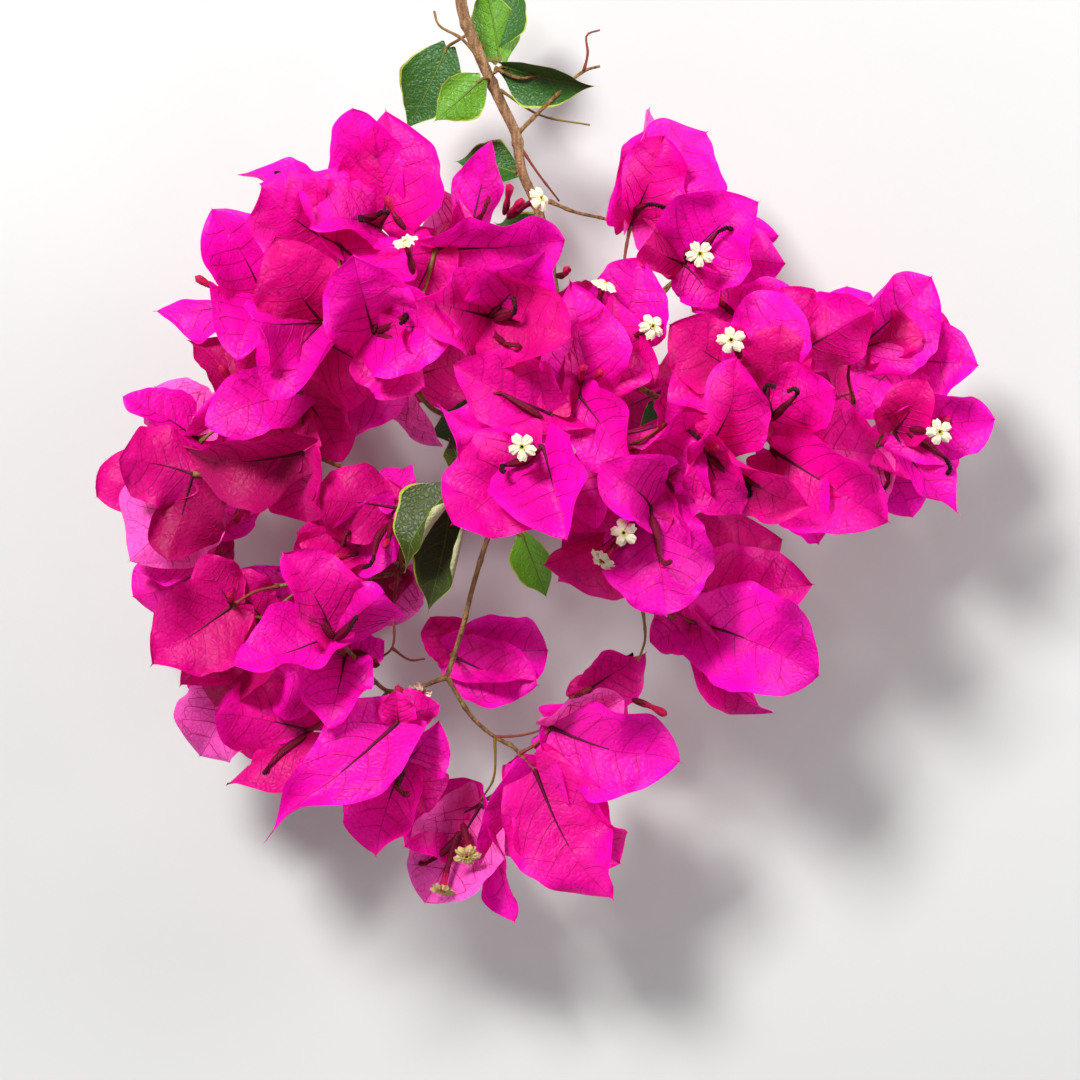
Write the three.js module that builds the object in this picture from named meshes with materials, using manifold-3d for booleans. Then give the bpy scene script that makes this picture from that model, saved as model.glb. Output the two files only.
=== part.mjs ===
// A cut bougainvillea spray, lying on a flat surface: one cane with its stems and boughs, each bloom
// of large papery bracts as its own closed solid, and the largest leaves.
// Millimetres. +X runs across the spray, +Y towards the cut end of the cane, +Z up from the surface.
import * as THREE from 'three';
import { mergeVertices } from 'three/addons/utils/BufferGeometryUtils.js';
import Module from 'manifold-3d';

const wasm = await Module();
wasm.setup();

// Driving dimensions
const EYE_HEIGHT = 1000;      // the spray is laid out as seen from this far above its middle height
const MIDDLE_HEIGHT = 50;
const ORIGIN = [0.2, 28.3, 0]; // the middle of the spray's box on the surface, in the layout's own places
const BLADE_THICKNESS = 4.0;  // of a bract's solid at its middle, thinning to a sharp edge
const LINK_RADIUS = 1.0;      // between two blooms that share a stalk
const STALK_RADIUS = 0.6;     // from a bloom or leaf to the limb that carries it
const GAP = 0.3;              // between neighbouring solids
const FINENESS = 0.14;        // corners closer than this to the faces beside them are left out
const LIMB_SIDES = 5;
const STALK_SIDES = 3;
const LIMB_STEP = 13;         // length of one step along a limb
const LEAF_THICKNESS = 3.0;

// Share of a blade's length, and of its half width, at each corner of its outline, from tip to base
const BLADE_OUTLINE = [[1, 0], [0.66, 0.92], [0.08, 0.8], [-0.09, 0]];
const BLADE_MIDDLE = 0.42;    // where along its length a blade is thickest

// Each bloom: name, place of its heart across, along and up, then its bracts.
// Each bract: heading, lean up from level, length, turn about its midrib, width as a share of length.
// Blooms that share a name grow from one short stalk and are one solid.
const BLOOMS = [
  ['upper_left_1', -41.6, 81.1, 48, [85, 10, 31, 0, 0.92], [104, 25, 33, -20, 0.6], [178, 52, 26, 20, 0.8]],
  ['upper_left_2', -52.0, 76.4, 56, [144, 40, 31, 0, 0.85], [139, -5, 34, 50, 0.75],
    [-40, 50, 25, 0, 0.85]],
  ['upper_left_3', -72.3, 64.0, 44, [120, 20, 27, 0, 0.92], [189, -12, 30, 50, 0.54], [255, 40, 26, 0, 0.9]],
  ['upper_left_4', -56.7, 56.7, 64, [118, 35, 28, 0, 0.9], [185, 52, 28, 15, 0.85], [238, 25, 27, 0, 0.85]],
  ['upper_left_4', -59.0, 53.0, 54, [254, 10, 19, 0, 1.0], [330, -25, 26, 10, 0.85]],
  ['upper_left_5', -43.4, 54.1, 72, [103, 50, 28, 10, 0.85], [-2, 40, 28, 0, 0.9], [-50, 32, 23, 30, 0.85]],
  ['upper_left_6', -27.0, 75.9, 58, [2, 10, 34, 42, 0.78], [240, -15, 27, 0, 0.9]],
  ['upper_left_7', -18.2, 79.0, 50, [76, 5, 26, 25, 0.56]],
  ['centre_1', -13.5, 58.2, 74, [168, 45, 27, 0, 0.85], [-15, 40, 28, 0, 0.9], [48, 35, 27, 20, 0.85]],
  ['centre_2', 2.6, 32.8, 80, [154, 15, 29, 10, 0.72]],
  ['centre_3', 0.8, 24.4, 88, [222, 20, 33, 0, 0.82], [285, 30, 29, 22, 0.85], [160, 10, 29, 45, 0.8]],
  ['centre_4', 10.4, 37.4, 76, [93, 15, 30, 12, 0.78], [72, -12, 29, 25, 0.8], [-52, 20, 25, 30, 0.8]],
  ['centre_5', 17.7, 50.7, 62, [68, 10, 25, 0, 0.92], [-34, 45, 22, 10, 0.9]],
  ['centre_6', 28.6, 8.8, 76, [280, 15, 29, 0, 0.98], [140, 50, 24, 20, 0.9], [209, 0, 31.5, 40, 0.8]],
  ['centre_6', 29.9, 10.9, 66, [298, 25, 20, 35, 0.85], [60, 30, 23, 10, 0.95], [221, -10, 34.5, 20, 0.6]],
  ['centre_7', 18.7, 23.4, 70, [240, 10, 25, 58, 0.8], [20, 15, 27, 52, 0.8], [258, 15, 22, 45, 0.8]],
  ['centre_7', 32.5, 30.2, 66, [186, 15, 26, 50, 0.8], [-10, 10, 24, 40, 0.8], [80, 0, 13, 30, 0.85]],
  ['centre_8', -36.4, 41.6, 44, [304, -10, 21, 45, 0.7], [212, -5, 27, 15, 0.85]],
  ['right_1', 42.9, 22.9, 76, [-32, 15, 31, 48, 0.75], [-60, -5, 19, 20, 0.9], [72, 25, 27, 32, 0.8]],
  ['right_2', 58.5, 31.7, 72, [80, 20, 25, 12, 0.92], [22, 30, 22, 10, 0.92], [188, 25, 20, 20, 0.85]],
  ['right_3', 60.3, 23.4, 64, [-32, 10, 36, 10, 0.72], [-64, 15, 28, 25, 0.72], [-2, -20, 31, 0, 0.8]],
  ['right_4', 81.1, 48.9, 50, [44, 0, 29, 8, 0.95], [14, 25, 20, 0, 0.8], [92, -25, 20, 0, 0.85]],
  ['right_4', 66.8, 48.1, 60, [103, 20, 19, 0, 1.05], [30, 15, 24, 10, 0.85]],
  ['right_5', 95.0, 46.5, 42, [-4, 20, 20, 0, 1.25], [225, 30, 24, 10, 0.85]],
  ['right_6', 92.0, 28.1, 50, [8, 5, 27, 15, 0.72], [62, 35, 18, 0, 0.95], [-52, 5, 28, 38, 0.5]],
  ['right_6', 87.4, 24.4, 38, [-62, -15, 23, 10, 0.8], [5, -25, 26, 0, 0.8]],
  ['upper_right_1', 23.4, 81.6, 44, [70, 10, 26, 30, 0.76], [79, -22, 35, 45, 0.32],
    [54, -15, 36, 10, 0.8]],
  ['upper_right_2', 37.4, 71.8, 56, [38, 25, 28, 0, 1.06], [162, 62, 20, 10, 0.8], [-55, 15, 15, 20, 0.95]],
  ['upper_right_2', 41.0, 70.5, 47, [3, 5, 23.5, 20, 0.9], [24, -10, 24, 45, 0.6]],
  ['upper_right_3', 51.5, 57.7, 52, [24, 30, 18, 10, 0.88], [152, 20, 16, 20, 0.95],
    [-30, -20, 24, 0, 0.85]],
  ['upper_right_4', 52.5, 43.2, 70, [146, 10, 23, 0, 0.88], [62, -10, 25, 0, 0.85], [200, 20, 22, 28, 0.8]],
  ['left_1', -62.4, 38.5, 56, [200, 15, 27, 10, 0.65], [150, -20, 24, 10, 0.85], [300, -10, 22, 20, 0.8]],
  ['left_2', -79.0, 36.9, 44, [200, 5, 22, 20, 0.5], [126, -10, 21, 38, 0.65]],
  ['left_2', -88.4, 25.5, 44, [150, 10, 24, 42, 0.55], [207, -15, 34, 12, 0.68]],
  ['left_3', -90.2, 17.2, 56, [170, 15, 20, 0, 1.05], [254, 0, 24, 10, 0.88], [232, -12, 30, 0, 1.05]],
  ['left_4', -61.6, 22.9, 62, [181, 5, 31, -25, 0.66], [270, -15, 20, 10, 0.95]],
  ['left_5', -76.2, 12.5, 42, [240, -20, 16, 0, 0.75]],
  ['left_6', -85.3, -5.7, 38, [183, 0, 21, 50, 0.65], [204, -10, 25, 8, 0.95]],
  ['left_7', -80.1, -17.2, 54, [214, 15, 26, 0, 0.98], [238, 0, 25, 15, 0.85], [120, 20, 16, 10, 0.95]],
  ['left_7', -72.3, -20.3, 46, [130, 10, 16, 0, 1.0], [240, 0, 27, 10, 0.9], [300, -10, 24, 0, 0.9]],
  ['lower_left_1', -53.8, -25.0, 70, [120, 15, 26, 25, 0.75], [196, 20, 28, 40, 0.72],
    [42, 38, 21, 15, 0.9]],
  ['lower_left_1', -50.7, -29.9, 56, [258, 40, 24, 20, 0.85], [20, -5, 11, 0, 1.0]],
  ['lower_left_2', -37.4, 8.3, 60, [174, 20, 23, 0, 0.88]],
  ['lower_left_3', -43.7, -3.1, 52, [166, 10, 21, 32, 0.8], [62, 25, 15, 50, 0.8], [205, -5, 24, 10, 0.82]],
  ['lower_left_3', -35.1, -6.8, 36, [250, -15, 18, 0, 0.96]],
  ['lower_left_4', -59.8, -49.7, 52, [169, 10, 26, 0, 0.84], [209, 0, 26, 58, 0.65],
    [135, -15, 18, 10, 0.9]],
  ['lower_left_4', -76.0, -39.0, 38, [234, -10, 23, 8, 0.98]],
  ['lower_left_5', -36.9, -47.3, 60, [218, 10, 46, 12, 0.56], [95, 20, 9, 0, 1.1], [20, 10, 12, 20, 0.9]],
  ['lower_left_5', -35.4, -57.7, 50, [253, 10, 26, 15, 0.78], [52, 20, 16, 28, 0.95],
    [296, 10, 15, 30, 0.8]],
  ['bottom_1', -15.1, -68.4, 38, [206, 25, 22, 18, 0.8], [240, 5, 31, 0, 0.78], [285, 5, 33, 62, 0.48]],
  ['bottom_2', -1.3, -59.8, 48, [-61, 10, 40, 4, 0.72], [-48, -15, 36, 18, 0.75], [-92, -15, 33, 0, 0.72]],
  ['bottom_2', 1.3, -58.8, 40, [14, -10, 17, 15, 0.95], [218, -10, 14, 0, 1.0]],
  ['bottom_3', 2.9, -48.6, 46, [-14, 10, 36, 8, 0.68], [22, 15, 22, 28, 0.8], [-75, -15, 13, 0, 1.0]],
  ['bottom_3', 13.0, -38.5, 34, [31, 10, 18, 18, 0.88]],
  ['bottom_4', -22.9, -29.9, 30, [-19, 10, 25, 8, 0.74], [2, -10, 27, 4, 0.84], [120, 5, 12, 10, 1.2]],
  ['lower_right_1', 40.0, -21.3, 52, [-23, 10, 36, 0, 0.78], [-51, -10, 35, 18, 0.34],
    [205, -10, 13, 20, 1.1]],
  ['lower_right_2', 39.0, -13.5, 40, [4, 10, 33, 4, 0.78], [28, -10, 30, 18, 0.95],
    [-14, -15, 33, 0, 0.72]],
  ['back_1', -58, 62, 24, [150, -20, 28, 0, 0.85], [30, -25, 28, 0, 0.85], [265, -55, 30, 0, 0.85]],
  ['back_2', -12, 54, 22, [85, -15, 28, 0, 0.85], [200, -25, 28, 0, 0.85], [320, -52, 28, 0, 0.85]],
  ['back_3', 34, 40, 22, [10, -20, 26, 0, 0.85], [205, -25, 26, 0, 0.85], [285, -52, 28, 0, 0.85]],
  ['back_4', 72, 36, 22, [20, -15, 28, 0, 0.85], [140, -25, 28, 0, 0.85], [255, -52, 28, 0, 0.85]],
  ['back_5', -62, -15, 22, [182, -20, 26, 0, 0.85], [10, -30, 24, 0, 0.85], [280, -52, 28, 0, 0.85]],
];

// Each leaf: name, place of its base, then heading, lean, length, turn and width as for a bract
const LEAVES = [
  ['leaf_top', -9.6, 123.2, 42, [-12, 5, 26, 50, 0.6]],
  ['leaf_centre', -23.2, 9.8, 60, [257, -5, 30, 8, 0.52]],
];

// Each limb: name, radius at its start and its end, then the places that it runs through
const LIMBS = [
  ['cane', 1.6, 1.0, [-20.3, 156, 40], [-20.3, 139, 40], [-15.6, 125.8, 41], [-9.6, 112.6, 42],
    [-6.2, 105.3, 42], [-4.7, 96, 42], [-0.5, 86, 43], [3, 70, 44], [5, 54, 46], [2, 40, 48]],
  ['stem_hanging', 0.75, 0.6, [2, 40, 48], [-4, 24, 52], [-11, 8, 55], [-16.9, -10.1, 54],
    [-20.3, -23.4, 52], [-24.2, -35.6, 50]],
  ['bough_right', 0.9, 0.6, [4.6, 56, 46], [22, 42, 45], [44, 32, 46], [66, 34, 46], [84, 36, 44]],
  ['bough_upper_right', 0.8, 0.55, [4, 62, 45], [18, 64, 47], [30.4, 64.2, 49], [35, 67.5, 52]],
  ['bough_upper_left', 0.85, 0.55, [2, 40, 48], [-12, 32, 50], [-27, 33.5, 53], [-34, 41.5, 56],
    [-40.3, 46.8, 60], [-47, 50.4, 60]],
  ['bough_left', 0.75, 0.5, [-8, 16, 53.5], [-20, 15, 53], [-33, 13.8, 52], [-50.7, 18.7, 53],
    [-58, 21.6, 57]],
  ['bough_middle_left', 0.6, 0.5, [-33, 13.8, 52], [-36, 2, 49], [-37.2, -8, 47], [-55, -9.4, 48],
    [-68, -12, 50]],
  ['stem_lower_left', 0.6, 0.5, [-24.2, -35.6, 50], [-33, -38.7, 50], [-39.5, -39.3, 51],
    [-46.8, -32, 58], [-51, -27.5, 66]],
  ['stem_bottom', 0.6, 0.5, [-24.2, -35.6, 50], [-17.7, -46, 48], [-11.7, -51.2, 47],
    [-7, -53.8, 47], [-3.8, -57.4, 47]],
  ['stem_lower_right', 0.6, 0.5, [2, 40, 48], [14, 22, 56], [24, 0, 58], [25.5, -15.9, 56],
    [31.2, -19, 54], [37, -20.6, 52]],
];

const degrees = THREE.MathUtils.degToRad;

function manifoldOf(geometry) {
  const plain = geometry.clone();
  plain.deleteAttribute('normal');
  plain.deleteAttribute('uv');
  const merged = mergeVertices(plain, 1e-4);
  return new wasm.Manifold(new wasm.Mesh({
    numProp: 3,
    vertProperties: new Float32Array(merged.attributes.position.array),
    triVerts: new Uint32Array(merged.index.array),
  }));
}

function geometryOf(manifold) {
  const mesh = manifold.getMesh();
  const geometry = new THREE.BufferGeometry();
  geometry.setAttribute('position', new THREE.BufferAttribute(mesh.vertProperties, 3));
  geometry.setIndex(new THREE.BufferAttribute(mesh.triVerts, 1));
  geometry.computeVertexNormals();
  return geometry;
}

// A place in the layout, seen from the eye, as a place in space
function placed(x, y, z) {
  const spread = (EYE_HEIGHT + MIDDLE_HEIGHT - z) / EYE_HEIGHT;
  return new THREE.Vector3(x * spread - ORIGIN[0], y * spread - ORIGIN[1], z - ORIGIN[2]);
}

// The directions along, across and out of a blade that faces up and is then turned about its midrib
function bladeAxes(heading, lean, turn) {
  const h = degrees(heading);
  const l = degrees(lean);
  const along = new THREE.Vector3(Math.cos(h) * Math.cos(l), Math.sin(h) * Math.cos(l), Math.sin(l));
  const out = new THREE.Vector3(0, 0, 1).addScaledVector(along, -along.z).normalize();
  const across = new THREE.Vector3().crossVectors(out, along);
  return [along, across.applyAxisAngle(along, degrees(turn)), out.applyAxisAngle(along, degrees(turn))];
}

// A closed lens in a blade's outline: a ball of few faces, with its ring moved to the outline
function bladeSolid(base, [heading, lean, length, turn, share], thickness, margin) {
  const [along, across, out] = bladeAxes(heading, lean, turn);
  const corners = 2 * (BLADE_OUTLINE.length - 1);
  const geometry = new THREE.SphereGeometry(1, corners, 2);
  const position = geometry.attributes.position;
  for (let i = 0; i < position.count; i++) {
    const around = Math.atan2(position.getZ(i), position.getX(i)) / (2 * Math.PI);
    const corner = (Math.round(around * corners) + corners) % corners;
    const pole = Math.abs(position.getY(i)) > 0.9;
    const row = BLADE_OUTLINE[Math.min(corner, corners - corner)];
    const wide = corner <= corners / 2 ? -1 : 1;
    const s = pole ? BLADE_MIDDLE * length : row[0] * length + margin * Math.sign(row[0] - BLADE_MIDDLE);
    const t = pole ? 0 : wide * row[1] * (0.5 * share * length + margin);
    const up = pole ? Math.sign(position.getY(i)) * (0.5 * thickness + 1.5 * margin) : 0;
    const point = base.clone().addScaledVector(along, s).addScaledVector(across, t).addScaledVector(out, up);
    position.setXYZ(i, point.x, point.y, point.z);
  }
  return manifoldOf(geometry);
}

// A tapering tube along a smooth curve: a cylinder with its rings moved on to the curve
function tubeSolid(points, startRadius, endRadius, sides, margin) {
  const curve = new THREE.CatmullRomCurve3(points, false, 'centripetal');
  const steps = points.length > 2 ? Math.round(curve.getLength() / LIMB_STEP) : 1;
  const geometry = new THREE.CylinderGeometry(1, 1, 1, sides, steps);
  const position = geometry.attributes.position;
  for (let i = 0; i < position.count; i++) {
    const share = 0.5 - position.getY(i);
    const tangent = curve.getTangentAt(share);
    const across = new THREE.Vector3(0, 0, 1).cross(tangent).normalize();
    const over = new THREE.Vector3().crossVectors(tangent, across);
    const radius = THREE.MathUtils.lerp(startRadius, endRadius, share) + margin;
    const end = margin * (share <= 0 ? -1 : share >= 1 ? 1 : 0);
    const point = curve.getPointAt(share)
      .addScaledVector(across, radius * position.getX(i))
      .addScaledVector(over, radius * position.getZ(i))
      .addScaledVector(tangent, end);
    position.setXYZ(i, point.x, point.y, point.z);
  }
  return manifoldOf(geometry);
}

const joined = (solids) => solids.reduce((sum, next) => sum.add(next));

function bloomSolid(rows, margin) {
  const hearts = rows.map(([, x, y, z]) => placed(x, y, z));
  const solids = [];
  rows.forEach(([, , , , ...bracts], n) => {
    bracts.forEach((bract) => solids.push(bladeSolid(hearts[n], bract, BLADE_THICKNESS, margin)));
    if (n > 0) {
      solids.push(tubeSolid([hearts[n - 1], hearts[n]], LINK_RADIUS, LINK_RADIUS, STALK_SIDES, margin));
    }
  });
  return joined(solids);
}

function leafSolid([, x, y, z, blade], margin) {
  return bladeSolid(placed(x, y, z), blade, LEAF_THICKNESS, margin);
}

function limbSolid([, startRadius, endRadius, ...places], margin) {
  return tubeSolid(places.map((place) => placed(...place)), startRadius, endRadius, LIMB_SIDES, margin);
}

// The stalk of a bloom or leaf, from its heart to just short of the nearest limb
function stalkSolid([, x, y, z], margin) {
  const heart = placed(x, y, z);
  let seat = null;
  for (const [, startRadius, endRadius, ...places] of LIMBS) {
    const curve = new THREE.CatmullRomCurve3(places.map((place) => placed(...place)), false, 'centripetal');
    for (let share = 0.02; share < 1; share += 0.02) {
      const point = curve.getPointAt(share);
      const distance = point.distanceTo(heart);
      if (!seat || distance < seat.distance) {
        seat = { point, distance, radius: THREE.MathUtils.lerp(startRadius, endRadius, share) };
      }
    }
  }
  const end = seat.point.lerp(heart, (seat.radius + GAP) / seat.distance);
  return tubeSolid([end, heart], STALK_RADIUS, STALK_RADIUS, STALK_SIDES, margin);
}

// Everything above the surface that the spray lies on
function aboveSurface() {
  const size = 1000;
  const box = new THREE.BoxGeometry(size, size, size);
  box.translate(0, 0, size / 2);
  return manifoldOf(box);
}

function material(colour, roughness) {
  return new THREE.MeshStandardMaterial({ color: colour, roughness, metalness: 0, side: THREE.DoubleSide });
}

const spray = new THREE.Group();
const finishes = {
  bloom: material(0xf0109c, 0.55),
  leaf: material(0x3c5c1e, 0.5),
  limb: material(0x7a5a34, 0.8),
};

const bloomNames = [...new Set(BLOOMS.map(([name]) => name))];
const blooms = bloomNames
  .map((name) => BLOOMS.filter((row) => row[0] === name))
  .sort((a, b) => b[0][3] - a[0][3]);

// Limbs are whole, then the stalks, then the leaves and blooms from the uppermost down
const pieces = [
  ...LIMBS.map((row) => ({ name: row[0], finish: 'limb', row, build: (margin) => limbSolid(row, margin) })),
  ...LEAVES.map((row) => ({ name: row[0], finish: 'leaf', row, build: (margin) => leafSolid(row, margin) })),
  ...blooms.map((rows) => ({
    name: `bloom_${rows[0][0]}`, finish: 'bloom', row: rows[0], build: (margin) => bloomSolid(rows, margin),
  })),
];

const cleared = (solid, others) => others.reduce((left, other) => left.subtract(other), solid);
const largest = (solid) => solid.decompose().sort((a, b) => b.volume() - a.volume())[0];

const limbs = pieces.filter(({ finish }) => finish === 'limb');
const limbClearances = [];
for (const limb of limbs) {
  limb.solid = cleared(limb.build(0), limbClearances);
  limbClearances.push(limb.build(GAP));
}

const carried = pieces.filter(({ finish }) => finish !== 'limb');
const stalkClearances = [];
for (const piece of carried) {
  piece.stalk = cleared(stalkSolid(piece.row, 0), [...limbClearances, ...stalkClearances]);
  piece.stalkClearance = stalkSolid(piece.row, GAP);
  stalkClearances.push(piece.stalkClearance);
}

const above = aboveSurface();
const bodyClearances = [];
for (const piece of carried) {
  const others = stalkClearances.filter((clearance) => clearance !== piece.stalkClearance);
  const body = cleared(piece.build(0).intersect(above), [...limbClearances, ...others, ...bodyClearances]);
  piece.solid = body.add(piece.stalk);
  bodyClearances.push(piece.build(GAP));
}

for (const { name, finish, solid } of pieces) {
  const mesh = new THREE.Mesh(geometryOf(largest(solid.simplify(FINENESS))), finishes[finish]);
  mesh.name = name;
  spray.add(mesh);
}

export default spray;
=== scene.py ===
"""A cut bougainvillea spray: the finish of every bract, flower, leaf and limb, and a plain stage.

The layout below is in millimetres, as seen from an eye straight above the spray, in the same way
as the solids are laid out. Meshes are in metres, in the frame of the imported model.
"""
import math

import bpy
import numpy as np
from bpy.props import FloatProperty, FloatVectorProperty, IntProperty, PointerProperty
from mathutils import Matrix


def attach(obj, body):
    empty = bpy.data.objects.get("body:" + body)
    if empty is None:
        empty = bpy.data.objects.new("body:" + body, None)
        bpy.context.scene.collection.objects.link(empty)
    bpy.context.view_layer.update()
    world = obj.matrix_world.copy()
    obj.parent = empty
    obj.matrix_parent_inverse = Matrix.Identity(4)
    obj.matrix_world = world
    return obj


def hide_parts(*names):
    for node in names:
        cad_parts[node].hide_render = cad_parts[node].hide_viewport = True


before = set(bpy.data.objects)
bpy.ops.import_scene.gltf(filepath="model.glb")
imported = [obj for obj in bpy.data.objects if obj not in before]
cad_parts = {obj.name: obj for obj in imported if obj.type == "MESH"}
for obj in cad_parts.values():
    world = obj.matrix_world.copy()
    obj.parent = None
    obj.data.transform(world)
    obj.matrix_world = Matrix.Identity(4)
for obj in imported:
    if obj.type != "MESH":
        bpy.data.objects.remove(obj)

bl_info = {
    "name": "Bougainvillea spray",
    "version": (1, 0, 0),
    "blender": (4, 5, 0),
    "location": "View3D > Sidebar > Spray",
    "description": "Builds a cut bougainvillea spray with its bracts, flowers, leaves and limbs",
    "category": "Object",
}

MM = 0.001
EYE_HEIGHT = 1000.0     # mm above the middle height, where the spray is seen from
MIDDLE_HEIGHT = 50.0
ORIGIN = np.array([0.2, 28.3, 0.0])   # the middle of the spray's box on the surface
PIXEL = 0.26            # mm across one pixel of the view at the middle height
VIEW_SIZE = 1080        # pixels along one side of the view
LOWEST = 0.25           # mm: no point of a piece lies lower above the surface
HALVES_MEET = -20       # mm across: where the left veins end and the right ones start
VEIN_LIFT = 0.07        # mm that a side vein stands out of its bract
LEAF_THICKNESS = 0.2    # mm
LEAF_MIDRIB, LEAF_VEIN, LEAF_STALK = 0.30, 0.10, 0.45   # mm: radii
CURL_STEPS = 26         # places along the curled end of a wilted flower
TUBE_SIDES = 15         # faces round the tube of a flower
TUBE_STEPS = 13         # steps along it
FLOWERS_APART = 10      # mm that a hidden flower keeps from those that show
MIDRIB_SIDES = 5        # faces round a midrib
MIDRIB_END = 0.97       # share of a blade's length at which its midrib ends and its outline has drawn in
VEINS_FROM = 0.03       # share of a blade's length at which its side veins start
VEINS_ALONG = 0.8       # share of the length along which they leave the midrib
FLAT_SHARE = 0.3        # share of the half width of a blade from which it rolls over on an arc
USUAL_HALF = 12         # mm: half the width of a blade whose folds have their plain height
LARGEST_FOLDS = 1.15    # times the plain height, on the widest blades
THICK_TWIG = 0.45       # mm: a twig with a larger radius has the bark of a stem
FURLED = (80, 125)      # degrees that the edge of a furled bract rolls over
# Where each kind of thing starts its own run of random draws
FIRST_SEEDS = {"bract": 0, "limb": 300, "twig": 400, "stalk": 450, "flower": 500, "leaf": 600, "hidden_flower": 900,
               "vein": 1400}

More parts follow.
